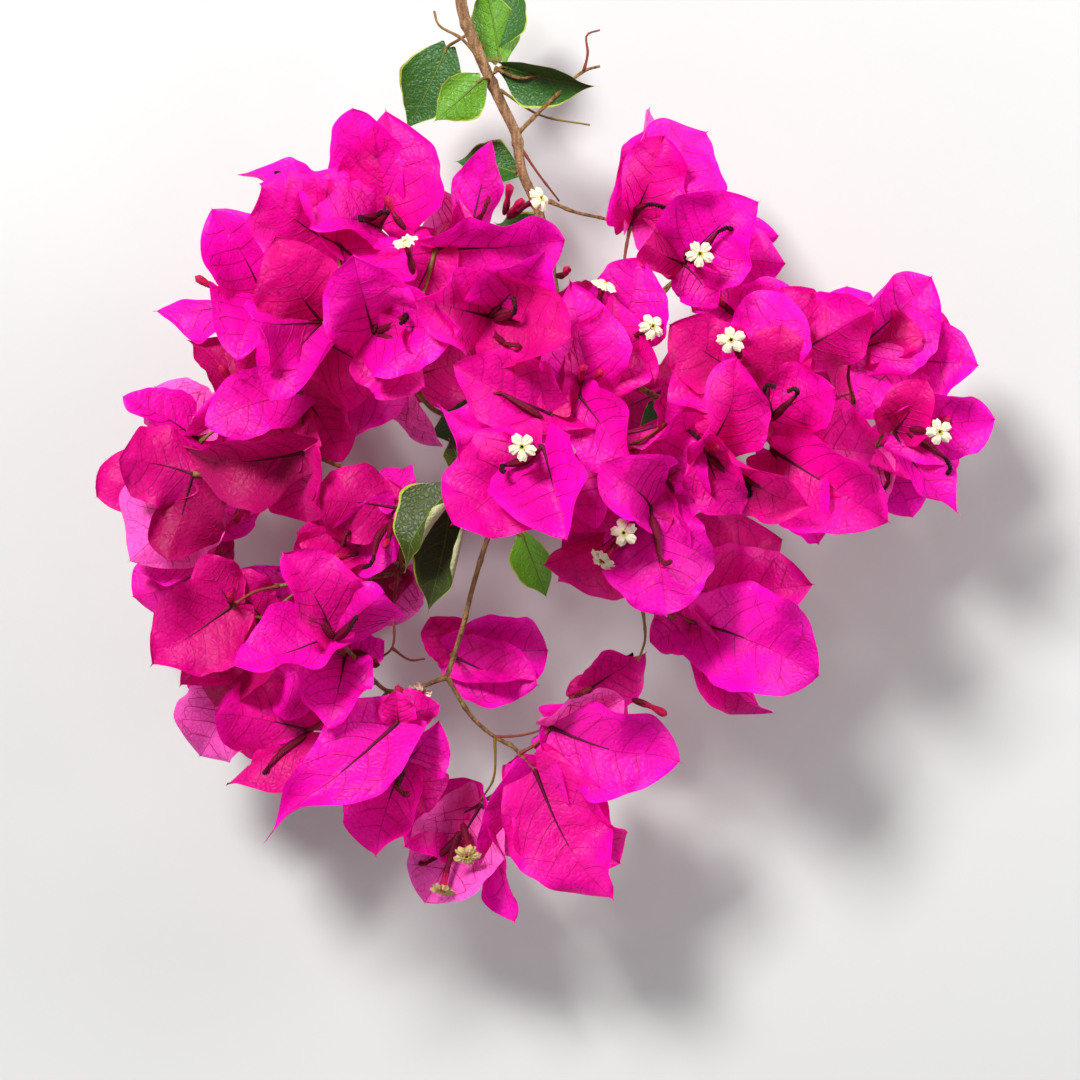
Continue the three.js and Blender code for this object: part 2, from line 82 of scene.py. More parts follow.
# Blooms: name, heart across, along and up, then bracts as heading, lean, length, turn, width share
BLOOMS = [
    ["upper_left_1", -41.6, 81.1, 48, [85, 10, 31, 0, 0.92], [104, 25, 33, -20, 0.6], [178, 52, 26, 20, 0.8]],
    ["upper_left_2", -52.0, 76.4, 56, [144, 40, 31, 0, 0.85], [139, -5, 33, 40, 0.7], [-40, 50, 25, 0, 0.85]],
    ["upper_left_3", -72.3, 64.0, 44, [120, 20, 27, 0, 0.92], [189, -12, 30, 50, 0.54], [255, 40, 26, 0, 0.9]],
    ["upper_left_4", -56.7, 56.7, 64, [118, 35, 28, 0, 0.9], [185, 52, 28, 15, 0.85], [238, 25, 27, 0, 0.85]],
    ["upper_left_4", -59.0, 53.0, 54, [254, 10, 19, 0, 1.0], [330, -25, 26, 10, 0.85], [205, -20, 24, 10, 0.8]],
    ["upper_left_5", -43.4, 54.1, 72, [103, 50, 28, 10, 0.85], [-2, 40, 28, 0, 0.9], [-50, 32, 23, 30, 0.85]],
    ["upper_left_6", -27.0, 75.9, 58, [2, 10, 34, 42, 0.78], [100, -75, 22, 0, 0.7], [240, -15, 27, 0, 0.9]],
    ["upper_left_7", -18.2, 79.0, 50, [76, 5, 26, 25, 0.56], [300, -30, 24, 0, 0.85], [165, -50, 24, 0, 0.85]],
    ["centre_1", -13.5, 58.2, 74, [168, 45, 27, 0, 0.85], [-15, 40, 28, 0, 0.9], [48, 35, 27, 20, 0.85]],
    ["centre_2", 2.6, 32.8, 80, [154, 15, 29, 10, 0.72], [120, -25, 26, 10, 0.8], [30, -40, 24, 0, 0.8]],
    ["centre_3", 0.8, 24.4, 88, [222, 20, 33, 0, 0.82], [285, 30, 29, 22, 0.85], [160, 10, 29, 45, 0.8]],
    ["centre_4", 10.4, 37.4, 76, [93, 15, 30, 12, 0.78], [72, -12, 29, 25, 0.8], [-52, 20, 25, 30, 0.8]],
    ["centre_5", 17.7, 50.7, 62, [68, 10, 25, 0, 0.92], [-42, 45, 20, 10, 0.85], [140, -30, 24, 0, 0.85]],
    ["centre_6", 28.6, 8.8, 76, [280, 15, 29, 0, 0.98], [140, 50, 24, 20, 0.9], [209, 0, 31.5, 40, 0.8]],
    ["centre_6", 29.9, 10.9, 66, [298, 25, 20, 35, 0.85], [60, 30, 23, 10, 0.95], [221, -10, 34.5, 20, 0.6]],
    ["centre_7", 18.7, 23.4, 70, [240, 10, 25, 58, 0.8], [20, 15, 27, 52, 0.8], [258, 15, 22, 45, 0.8]],
    ["centre_7", 32.5, 30.2, 66, [186, 15, 26, 50, 0.8], [-10, 10, 24, 40, 0.8], [80, 0, 13, 30, 0.85]],
    ["centre_8", -36.4, 41.6, 44, [304, -10, 21, 45, 0.7], [212, -5, 27, 15, 0.85], [20, -30, 24, 0, 0.85]],
    ["right_1", 42.9, 22.9, 76, [-32, 15, 31, 48, 0.75], [-60, -5, 19, 20, 0.9], [72, 25, 27, 32, 0.8]],
    ["right_2", 58.5, 31.7, 72, [80, 20, 25, 12, 0.92], [22, 30, 22, 10, 0.92], [188, 25, 20, 20, 0.85]],
    ["right_3", 60.3, 23.4, 64, [-32, 10, 36, 10, 0.72], [-64, 15, 28, 25, 0.72], [-2, -20, 31, 0, 0.8]],
    ["right_4", 81.1, 48.9, 50, [44, 0, 29, 8, 0.95], [14, 25, 20, 0, 0.8], [92, -25, 20, 0, 0.85]],
    ["right_4", 66.8, 48.1, 60, [103, 20, 19, 0, 1.05], [30, 15, 24, 10, 0.85], [215, -20, 24, 0, 0.85]],
    ["right_5", 95.0, 46.5, 42, [-4, 20, 20, 0, 1.25], [225, 30, 24, 10, 0.85], [62, -30, 20, 0, 0.85]],
    ["right_6", 92.0, 28.1, 50, [8, 5, 27, 15, 0.72], [62, 35, 18, 0, 0.95], [-52, 5, 28, 38, 0.5]],
    ["right_6", 87.4, 24.4, 38, [-62, -15, 23, 10, 0.8], [5, -25, 26, 0, 0.8], [235, -20, 24, 0, 0.85]],
    ["upper_right_1", 23.4, 81.6, 44, [70, 10, 26, 30, 0.76], [81, -22, 36, 45, 0.42], [54, -15, 36, 10, 0.8]],
    ["upper_right_2", 37.4, 71.8, 56, [41, 25, 26, 0, 1.06], [162, 62, 20, 10, 0.8], [-55, 15, 15, 20, 0.95]],
    ["upper_right_2", 41.0, 70.5, 47, [3, 5, 23.5, 20, 0.9], [24, -10, 24, 45, 0.6], [-25, -30, 26, 10, 0.85]],
    ["upper_right_3", 51.5, 57.7, 52, [24, 30, 18, 10, 0.88], [152, 20, 16, 20, 0.95], [-30, -20, 24, 0, 0.85]],
    ["upper_right_4", 52.5, 43.2, 70, [146, 10, 23, 0, 0.88], [62, -10, 25, 0, 0.85], [200, 20, 22, 28, 0.8]],
    ["left_1", -62.4, 38.5, 56, [200, 15, 27, 10, 0.65], [150, -20, 24, 10, 0.85], [300, -10, 22, 20, 0.8]],
    ["left_2", -79.0, 36.9, 44, [200, 5, 22, 20, 0.5], [126, -10, 21, 38, 0.65], [250, -30, 22, 0, 0.85]],
    ["left_2", -88.4, 25.5, 44, [150, 10, 24, 42, 0.55], [207, -15, 34, 12, 0.68], [130, -12, 20, 0, 0.95]],
    ["left_3", -90.2, 17.2, 56, [170, 15, 20, 0, 1.05], [254, 0, 24, 10, 0.88], [232, -12, 30, 0, 1.05]],
    ["left_4", -61.6, 22.9, 62, [181, 5, 31, -25, 0.66], [270, -15, 20, 10, 0.95], [140, -35, 25, 0, 0.85]],
    ["left_5", -76.2, 12.5, 42, [240, -20, 16, 0, 0.75], [185, -30, 26, 0, 0.8], [95, -40, 22, 0, 0.8]],
    ["left_6", -85.3, -5.7, 38, [183, 0, 21, 50, 0.65], [204, -10, 25, 8, 0.95], [90, -30, 14, 0, 0.9]],
    ["left_7", -80.1, -17.2, 54, [214, 15, 26, 0, 0.98], [238, 0, 25, 15, 0.85], [120, 20, 16, 10, 0.95]],
    ["left_7", -72.3, -20.3, 46, [130, 10, 16, 0, 1.0], [240, 0, 27, 10, 0.9], [300, -10, 24, 0, 0.9]],
    ["lower_left_1", -53.8, -25.0, 70, [120, 15, 26, 25, 0.75], [196, 20, 28, 40, 0.72], [42, 38, 21, 15, 0.9]],
    ["lower_left_1", -50.7, -29.9, 56, [258, 40, 24, 20, 0.85], [20, -5, 11, 0, 1.0], [205, -25, 26, 0, 0.85]],
    ["lower_left_2", -37.4, 8.3, 60, [174, 20, 23, 0, 0.88], [225, -25, 24, 10, 0.8], [105, -50, 17, 0, 0.8]],
    ["lower_left_3", -43.7, -3.1, 52, [166, 10, 21, 32, 0.8], [62, 25, 15, 50, 0.8], [205, -5, 24, 10, 0.82]],
    ["lower_left_3", -35.1, -6.8, 36, [250, -15, 18, 0, 0.96], [200, -35, 18, 0, 0.9], [190, -30, 22, 0, 0.9]],
    ["lower_left_4", -59.8, -49.7, 52, [169, 10, 26, 0, 0.84], [209, 0, 26, 58, 0.65], [135, -15, 18, 10, 0.9]],
    ["lower_left_4", -76.0, -39.0, 38, [234, -10, 23, 8, 0.98], [150, -30, 20, 0, 0.85], [300, -30, 20, 0, 0.85]],
    ["lower_left_5", -36.9, -47.3, 60, [218, 10, 46, 12, 0.56], [95, 20, 9, 0, 1.1], [20, 10, 12, 20, 0.9]],
    ["lower_left_5", -35.4, -57.7, 50, [253, 10, 26, 15, 0.78], [52, 20, 16, 28, 0.95], [296, 10, 15, 30, 0.8]],
    ["bottom_1", -15.1, -68.4, 38, [204, 34, 26, 5, 0.86], [240, 5, 31, 0, 0.78], [285, 5, 33, 62, 0.48]],
    ["bottom_2", -1.3, -59.8, 48, [-61, 10, 40, 4, 0.72], [-48, -15, 36, 18, 0.75], [-98, -35, 36, 0, 0.72]],
    ["bottom_2", 1.3, -58.8, 40, [14, -10, 17, 15, 0.95], [218, -10, 14, 0, 1.0], [-20, -30, 24, 0, 0.8]],
    ["bottom_3", 2.9, -48.6, 46, [-14, 10, 36, 8, 0.68], [22, 15, 22, 28, 0.8], [-75, -15, 13, 0, 1.0]],
    ["bottom_3", 13.0, -38.5, 34, [31, 10, 18, 18, 0.88], [200, -40, 9, 0, 0.9], [-40, -35, 18, 0, 0.85]],
    ["bottom_4", -22.9, -29.9, 30, [-19, 10, 25, 8, 0.74], [2, -10, 27, 4, 0.84], [120, 5, 12, 10, 1.2]],
    ["lower_right_1", 40.0, -21.3, 52, [-23, 10, 36, 0, 0.78], [-51, -20, 36, 18, 0.34], [205, -10, 13, 20, 1.1]],
    ["lower_right_2", 39.0, -13.5, 40, [4, 10, 33, 4, 0.78], [28, -10, 30, 18, 0.95], [-14, -15, 33, 0, 0.72]],
    ["back_1", -58, 62, 24, [150, -20, 28, 0, 0.85], [30, -25, 28, 0, 0.85], [265, -55, 30, 0, 0.85]],
    ["back_2", -12, 54, 22, [85, -15, 28, 0, 0.85], [200, -25, 28, 0, 0.85], [320, -52, 28, 0, 0.85]],
    ["back_3", 34, 40, 22, [10, -20, 26, 0, 0.85], [205, -25, 26, 0, 0.85], [285, -52, 28, 0, 0.85]],
    ["back_4", 72, 36, 22, [20, -15, 28, 0, 0.85], [140, -25, 28, 0, 0.85], [255, -52, 28, 0, 0.85]],
    ["back_5", -62, -15, 22, [182, -20, 26, 0, 0.85], [10, -30, 24, 0, 0.85], [280, -52, 28, 0, 0.85]],
]

# The blooms of each joined piece, by the start of their names
REGIONS = {
    "upper_left": ("upper_left",),
    "centre": ("centre",),
    "right": ("right", "upper_right"),
    "left": ("left",),
    "lower": ("lower_left", "bottom", "lower_right"),
    "back": ("back",),
}

# Leaves: base, then heading, lean, length, turn and width share as for a bract, then the finish of the upper
# side, and how far the left and the right edge roll over, in degrees
LEAVES = [
    [-9.6, 123.2, 42, [-12, 5, 26, 50, 0.6], "leaf_dark", 20, 70],
    [-24.2, 128.0, 34, [243, -15, 25, 10, 0.72], "leaf_dark", 10, 20],
    [-15.3, 119.8, 46, [222, 10, 17, 0, 0.8], "leaf_bright", 20, 60],
    [-10.4, 124.8, 32, [102, 5, 22, 20, 0.7], "leaf_bright", 30, 10],
    [-6.2, 95.4, 34, [170, -10, 17, 20, 0.75], "leaf_dark", 10, 20],
    [-14.0, 128.0, 30, [62, -12, 21, -20, 0.66], "leaf_dark", 30, 20],
    [-23.2, 9.8, 60, [257, -5, 30, 8, 0.56], "leaf_olive", 165, 15],
    [-17.5, 15.0, 62, [118, -20, 14, 30, 0.8], "leaf_olive", 10, 30],
    [-23.0, 14.0, 66, [236, 5, 25, 34, 0.7], "leaf_olive", 150, 10],
    [-4.6, 1.2, 58, [-69, -10, 18, 15, 0.6], "leaf_bright", 10, 40],
    [-12.0, 34.0, 40, [200, -42, 24, 0, 0.62], "leaf_dark", 20, 20],
    [30.0, 36.0, 36, [290, -48, 22, 0, 0.66], "leaf_dark", 30, 10],
    [-48.0, 14.0, 40, [250, -45, 22, 0, 0.62], "leaf_dark", 10, 30],
    [4.0, 74.0, 34, [150, -30, 24, 0, 0.66], "leaf_dark", 30, 20],
]

# Limbs: name, radius at the start and at the end, then the places that each runs through
LIMBS = [
    ["cane", 1.6, 1.0, [-20.3, 156, 40], [-20.3, 139, 40], [-15.6, 125.8, 41], [-9.6, 112.6, 42],
     [-6.2, 105.3, 42], [-4.7, 96, 42], [-0.5, 86, 43], [3, 70, 44], [5, 54, 46], [2, 40, 48]],
    ["stem_hanging", 0.75, 0.6, [2, 40, 48], [-4, 24, 52], [-11, 8, 55], [-16.9, -10.1, 54], [-20.3, -23.4, 52],
     [-24.2, -35.6, 50]],
    ["bough_right", 0.9, 0.6, [4.6, 56, 46], [22, 42, 45], [44, 32, 46], [66, 34, 46], [84, 36, 44]],
    ["bough_upper_right", 0.8, 0.55, [4, 62, 45], [18, 64, 47], [30.4, 64.2, 49], [35, 67.5, 52]],
    ["bough_upper_left", 0.85, 0.55, [2, 40, 48], [-12, 32, 50], [-27, 33.5, 53], [-34, 41.5, 56],
     [-40.3, 46.8, 60], [-47, 50.4, 60]],
    ["bough_left", 0.75, 0.5, [-8, 16, 53.5], [-20, 15, 53], [-33, 13.8, 52], [-50.7, 18.7, 53], [-58, 21.6, 57]],
    ["bough_middle_left", 0.6, 0.5, [-33, 13.8, 52], [-36, 2, 49], [-37.2, -8, 47], [-55, -9.4, 48],
     [-68, -12, 50]],
    ["stem_lower_left", 0.6, 0.5, [-24.2, -35.6, 50], [-33, -38.7, 50], [-39.5, -39.3, 51], [-46.8, -32, 58],
     [-51, -27.5, 66]],
    ["stem_bottom", 0.6, 0.5, [-24.2, -35.6, 50], [-17.7, -46, 48], [-11.7, -51.2, 47], [-7, -53.8, 47],
     [-3.8, -57.4, 47]],
    ["stem_lower_right", 0.6, 0.5, [2, 40, 48], [14, 22, 56], [24, 0, 58], [25.5, -15.9, 56], [31.2, -19, 54],
     [37, -20.6, 52]],
]

# Thin side twigs that show: radius at the start and at the end, then their places
TWIGS = [
    [0.54, 0.29, [-12.7, 120.6, 41.5], [-20, 130, 43], [-26.3, 133.9, 42], [-27.5, 137.5, 41]],
    [0.50, 0.25, [-11.7, 122.7, 42], [-5.2, 120.1, 44], [0.5, 121, 45], [6.2, 120.6, 45]],
    [0.58, 0.36, [-6.2, 105.3, 42], [1.5, 113, 43], [11.4, 121.9, 44], [15.6, 123.2, 44]],
    [0.36, 0.25, [11.4, 121.9, 44], [12.4, 126.5, 45], [12.2, 131.3, 45], [15.6, 132.6, 45]],
    [0.43, 0.25, [-6.2, 104, 42], [-1, 96, 42], [5, 88.1, 41]],
    [0.40, 0.22, [-10.4, 117, 41], [0, 110.5, 39], [13, 107.9, 38]],
    [0.50, 0.36, [2.3, 88.1, 43], [9, 85.3, 44], [16.1, 83.7, 44], [23.4, 81.6, 44]],
    [0.50, 0.32, [30.4, 64.2, 49], [32.5, 64.5, 50], [36.4, 71.2, 54]],
    [0.40, 0.29, [39.5, 64.5, 50], [43.4, 63.4, 51], [50.4, 58.5, 52]],
    [0.40, 0.29, [-35, -8.1, 48], [-37.2, -8.1, 48], [-55.1, -9.4, 49], [-58.5, -5.2, 50]],
    [0.36, 0.25, [-55.1, -9.4, 49], [-58.5, -10.4, 49], [-72, -20, 48]],
    [0.40, 0.29, [-37.2, -8.1, 48], [-38, -18.2, 49], [-38.5, -28.1, 50], [-42.6, -31.2, 52]],
    [0.36, 0.25, [-38.5, -28.1, 50], [-33.8, -31.2, 49], [-29.9, -30.9, 49]],
    [0.36, 0.25, [-39.5, -39.3, 51], [-44.5, -45, 52], [-40, -46, 56], [-36.9, -47.3, 59]],
    [0.36, 0.25, [-11.7, -51.2, 47], [-4.4, -50.7, 47], [2.9, -48.6, 46]],
    [0.36, 0.25, [-11.7, -51.2, 47], [-12, -61.6, 44], [-15.3, -67.6, 39]],
    [0.40, 0.29, [26.8, -18.2, 56], [27.3, -26, 54], [25.5, -31.5, 53]],
    [0.43, 0.32, [37, -20.6, 52], [45, -22.5, 53], [55.4, -26, 54]],
    [0.43, 0.29, [-46.8, -32, 58], [-52, -27, 66], [-53.8, -25.0, 69]],
]

# Flowers that show: kind, base across, along and up, tip across and along
FLOWERS = [
    ["star_side", -33.0, 69.2, 66, -35.1, 77.7], ["star_side", -8.3, 83.7, 60, 0.3, 88.9],
    ["bud", -9.3, 84.7, 60, -7.8, 92.6], ["bud", -8.3, 83.7, 60, -4.4, 88.4],
    ["star_side", 15.1, 59.3, 68, 16.9, 66.8], ["star", 22.1, 49.4, 68, 29.4, 55.6],
    ["bud", 19.1, 50.4, 66, 19.5, 55.4], ["star", 39.2, 72.3, 60, 41.6, 74.4],
    ["bud", 37.2, 73.3, 58, 45.0, 85.0], ["wilted", 40.2, 72.3, 60, 46.0, 80.0],
    ["star", 52.0, 47.3, 74, 49.7, 52.0], ["bud", 51.0, 47.0, 74, 47.0, 45.0],
    ["star", -1.7, 24.4, 89, -4.7, 24.2], ["bud", -2.0, 24.6, 89, -15.0, 25.2],
    ["wilted", -1.0, 23.4, 89, -13.8, 16.9], ["wilted", -0.6, 23.0, 89, -9.1, 19.5],
    ["star", 27.5, 6.8, 78, 21.8, 1.8], ["star", 26.5, 5.8, 78, 15.9, -5.7],
    ["wilted", 29.1, 6.4, 78, 30.9, -3.9], ["star", 95.9, 29.1, 52, 104.0, 28.1],
    ["bud", 95.9, 29.6, 52, 106.9, 31.7], ["wilted", 95.4, 28.1, 52, 105.0, 21.6],
    ["star_old", -20.1, -73.7, 44, -19.0, -82.4], ["star_old", -21.1, -75.7, 44, -25.5, -91.5],
    ["wilted", -20.1, -75.7, 44, -28.9, -83.7], ["bud", 4.3, 68.7, 50, 7.3, 70.7],
    ["bud", -80.4, 63.5, 50, -89.7, 68.6], ["bud", -80.0, 65.5, 50, -86.0, 74.1],
    ["bud", 24.0, -41.5, 42, 33.0, -45.5], ["wilted", -58.0, 80.4, 60, -66.0, 93.9],
    ["wilted", -59.0, 79.4, 60, -68.9, 89.2], ["wilted", -56.7, 60.7, 68, -64.7, 66.6],
    ["bud", -43.2, 54.1, 74, -36.7, 67.3], ["wilted", -42.2, 54.1, 74, -35.4, 58.0],
    ["wilted", -42.2, 53.1, 74, -33.3, 50.7], ["bud", -35.0, 80.7, 60, -40.0, 89.7],
    ["bud", -13.0, 58.2, 76, -4.4, 64.7], ["wilted", -12.5, 58.2, 76, 0.3, 60.6],
    ["wilted", -12.0, 57.2, 76, -7.0, 58.8], ["wilted", -12.0, 56.2, 74, -9.1, 51.2],
    ["wilted", 0.6, 31.8, 82, -9.6, 38.0], ["wilted", -39.4, 4.3, 62, -43.2, -4.2],
    ["bud", -38.4, 5.3, 62, -40.6, -2.1], ["bud", 42.9, 22.9, 78, 46.0, 23.9],
    ["wilted", 43.5, 21.9, 78, 52.6, 15.2], ["wilted", 44.0, 21.0, 78, 61.9, 12.5],
    ["wilted", 59.5, 31.7, 74, 58.5, 38.8], ["wilted", 60.0, 31.0, 74, 66.4, 37.4],
    ["wilted", 18.7, 23.4, 72, 15.7, 17.1], ["wilted", 33.0, 29.7, 68, 39.0, 28.1],
    ["dead", -36.4, -57.2, 52, -37.2, -64.2], ["bud", -53.8, -25.0, 72, -64.7, -10.4],
    ["bud", -53.8, -25.6, 72, -61.1, -20.5], ["wilted", -53.0, -26.0, 72, -48.0, -20.5],
    ["bud", -80.0, 37.9, 46, -83.2, 45.5], ["wilted", -60.8, -50.7, 54, -70.5, -58.7],
]


def placed(x, y, z):
    """A place in the layout, as the eye above sees it, as a place in space."""
    spread = (EYE_HEIGHT + MIDDLE_HEIGHT - z) / EYE_HEIGHT
    return np.array([x * spread, y * spread, z], dtype=float) - ORIGIN


def unit(vectors):
    """The same directions at a length of one."""
    return vectors / np.maximum(np.linalg.norm(vectors, axis=-1, keepdims=True), 1e-9)


def circle(count):
    """Evenly spaced angles round a circle."""
    return np.linspace(0, 2 * math.pi, count, endpoint=False)


def rings(path, across, over, radius, angle):
    """The places of a ring round each place of a path."""
    return (path[:, None] + across[:, None] * (radius * np.cos(angle))[..., None]
            + over[:, None] * (radius * np.sin(angle))[..., None])


def distances(path):
    """How far along a path each of its places is."""
    return np.concatenate([[0], np.cumsum(np.linalg.norm(np.diff(path, axis=0), axis=1))])


def nearest(places, place):
    """The one of the places that is nearest to a place."""
    return places[np.linalg.norm(places - place, axis=1).argmin()]


def blade_axes(heading, lean, turn):
    """Along, across and out of a blade that faces up and is then turned about its midrib."""
    h, l, t = (math.radians(angle) for angle in (heading, lean, turn))
    along = np.array([math.cos(h) * math.cos(l), math.sin(h) * math.cos(l), math.sin(l)])
    out = unit(np.array([0.0, 0.0, 1.0]) - along * along[2])
    across = np.cross(out, along)
    return along, across * math.cos(t) + out * math.sin(t), out * math.cos(t) - across * math.sin(t)


def smooth_path(points, step):
    """Evenly spaced places on the smooth curve through the points."""
    given = np.array(points, dtype=float)
    ends = np.vstack([2 * given[0] - given[1], given, 2 * given[-1] - given[-2]])
    share = np.linspace(0, 1, 24, endpoint=False)[:, None]
    run = []
    for a, b, c, d in zip(ends[:-3], ends[1:-2], ends[2:-1], ends[3:]):
        ab, bc, cd = (max(np.linalg.norm(q - p), 1e-6) ** 0.5 for p, q in ((a, b), (b, c), (c, d)))
        leave = ((b - a) / ab - (c - a) / (ab + bc) + (c - b) / bc) * bc
        reach = ((c - b) / bc - (d - b) / (bc + cd) + (d - c) / cd) * bc
        run.append((2 * share**3 - 3 * share**2 + 1) * b + (share**3 - 2 * share**2 + share) * leave
                   + (3 * share**2 - 2 * share**3) * c + (share**3 - share**2) * reach)
    run = np.vstack(run + [given[-1:]])
    far = distances(run)
    even = np.linspace(0, far[-1], max(2, int(round(far[-1] / step)) + 1))
    return np.stack([np.interp(even, far, run[:, axis]) for axis in range(3)], axis=1)


def ease(low, high, value):
    """0 below low, 1 above high, and smooth between."""
    share = np.clip((value - low) / (high - low), 0, 1)
    return share * share * (3 - 2 * share)


def in_scene(name, data):
    """A new object in the scene."""
    thing = bpy.data.objects.new(name, data)
    bpy.context.scene.collection.objects.link(thing)
    return thing


def dice(kind, order, *more):
    """The random draws of one thing, which no other thing shares."""
    return np.random.default_rng([bpy.context.scene.spray_sizes.seed, FIRST_SEEDS[kind] + order, *more])


class Gather:
    """Sheets and tubes, in millimetres, gathered into one mesh with several finishes."""

    def __init__(self, name, finishes):
        self.name = name
        self.finishes = list(finishes)
        self.points, self.faces, self.marks, self.masks = [], [], [], []
        self.count = 0

    def sheet(self, points, finish, closed=False, flipped=False, mask=0.0):
        """Adds a grid of points. finish is a name, or an array with an index for each face."""
        rows, columns = points.shape[:2]
        index = np.arange(rows * columns).reshape(rows, columns) + self.count
        if closed:
            index = np.hstack([index, index[:, :1]])
        faces = np.stack([index[:-1, :-1], index[1:, :-1], index[1:, 1:], index[:-1, 1:]], axis=-1)
        if closed != flipped:
            faces = faces[..., ::-1]
        faces = faces.reshape(-1, 4)
        mark = self.finishes.index(finish) if isinstance(finish, str) else np.asarray(finish).ravel()
        self.points.append(points.reshape(-1, 3))
        self.faces.append(faces)
        self.marks.append(np.broadcast_to(mark, len(faces)))
        self.masks.append(np.broadcast_to(np.asarray(mask, dtype=float), (rows, columns)).ravel())
        self.count += rows * columns

    def tube(self, path, radii, finish, sides, ribs=0, depth=0.0):
        """Adds a tube along a path, ribbed if asked."""
        tangent = unit(np.gradient(path, axis=0))
        across = np.empty_like(path)
        side = np.cross(tangent[0], [0.13, 0.31, 0.94])
        for place, direction in enumerate(tangent):
            side = side - direction * side.dot(direction)
            side = side / max(np.linalg.norm(side), 1e-9)
            across[place] = side
        angle = circle(sides)
        radius = np.broadcast_to(radii, len(path))[:, None] * (1 + depth * np.cos(ribs * angle))
        self.sheet(rings(path, across, np.cross(tangent, across), radius, angle), finish, closed=True)

    def finish_piece(self, slot, nodes=()):
        """Makes the object, in metres, and lets it ride and stand for its nodes."""
        points = np.vstack(self.points)
        points[:, 2] = np.maximum(points[:, 2], LOWEST)
        faces = np.vstack(self.faces).astype(np.int32)
        mesh = bpy.data.meshes.new(self.name)
        mesh.vertices.add(len(points))
        mesh.vertices.foreach_set("co", (points * MM).astype(np.float32).ravel())
        mesh.loops.add(faces.size)
        mesh.loops.foreach_set("vertex_index", faces.ravel())
        mesh.polygons.add(len(faces))
        mesh.polygons.foreach_set("loop_start", np.arange(0, faces.size, 4, dtype=np.int32))
        mesh.polygons.foreach_set("material_index", np.concatenate(self.marks).astype(np.int32))
        mesh.polygons.foreach_set("use_smooth", np.ones(len(faces), dtype=bool))
        for name in self.finishes:
            mesh.materials.append(bpy.data.materials[name])
        masks = np.concatenate(self.masks)
        if masks.any():
            mesh.attributes.new("thinness", "FLOAT", "POINT").data.foreach_set("value", masks.astype(np.float32))
        mesh.update(calc_edges=True)
        mesh.validate()
        piece = in_scene(self.name, mesh)
        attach(piece, "root")
        if nodes:
            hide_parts(*nodes)


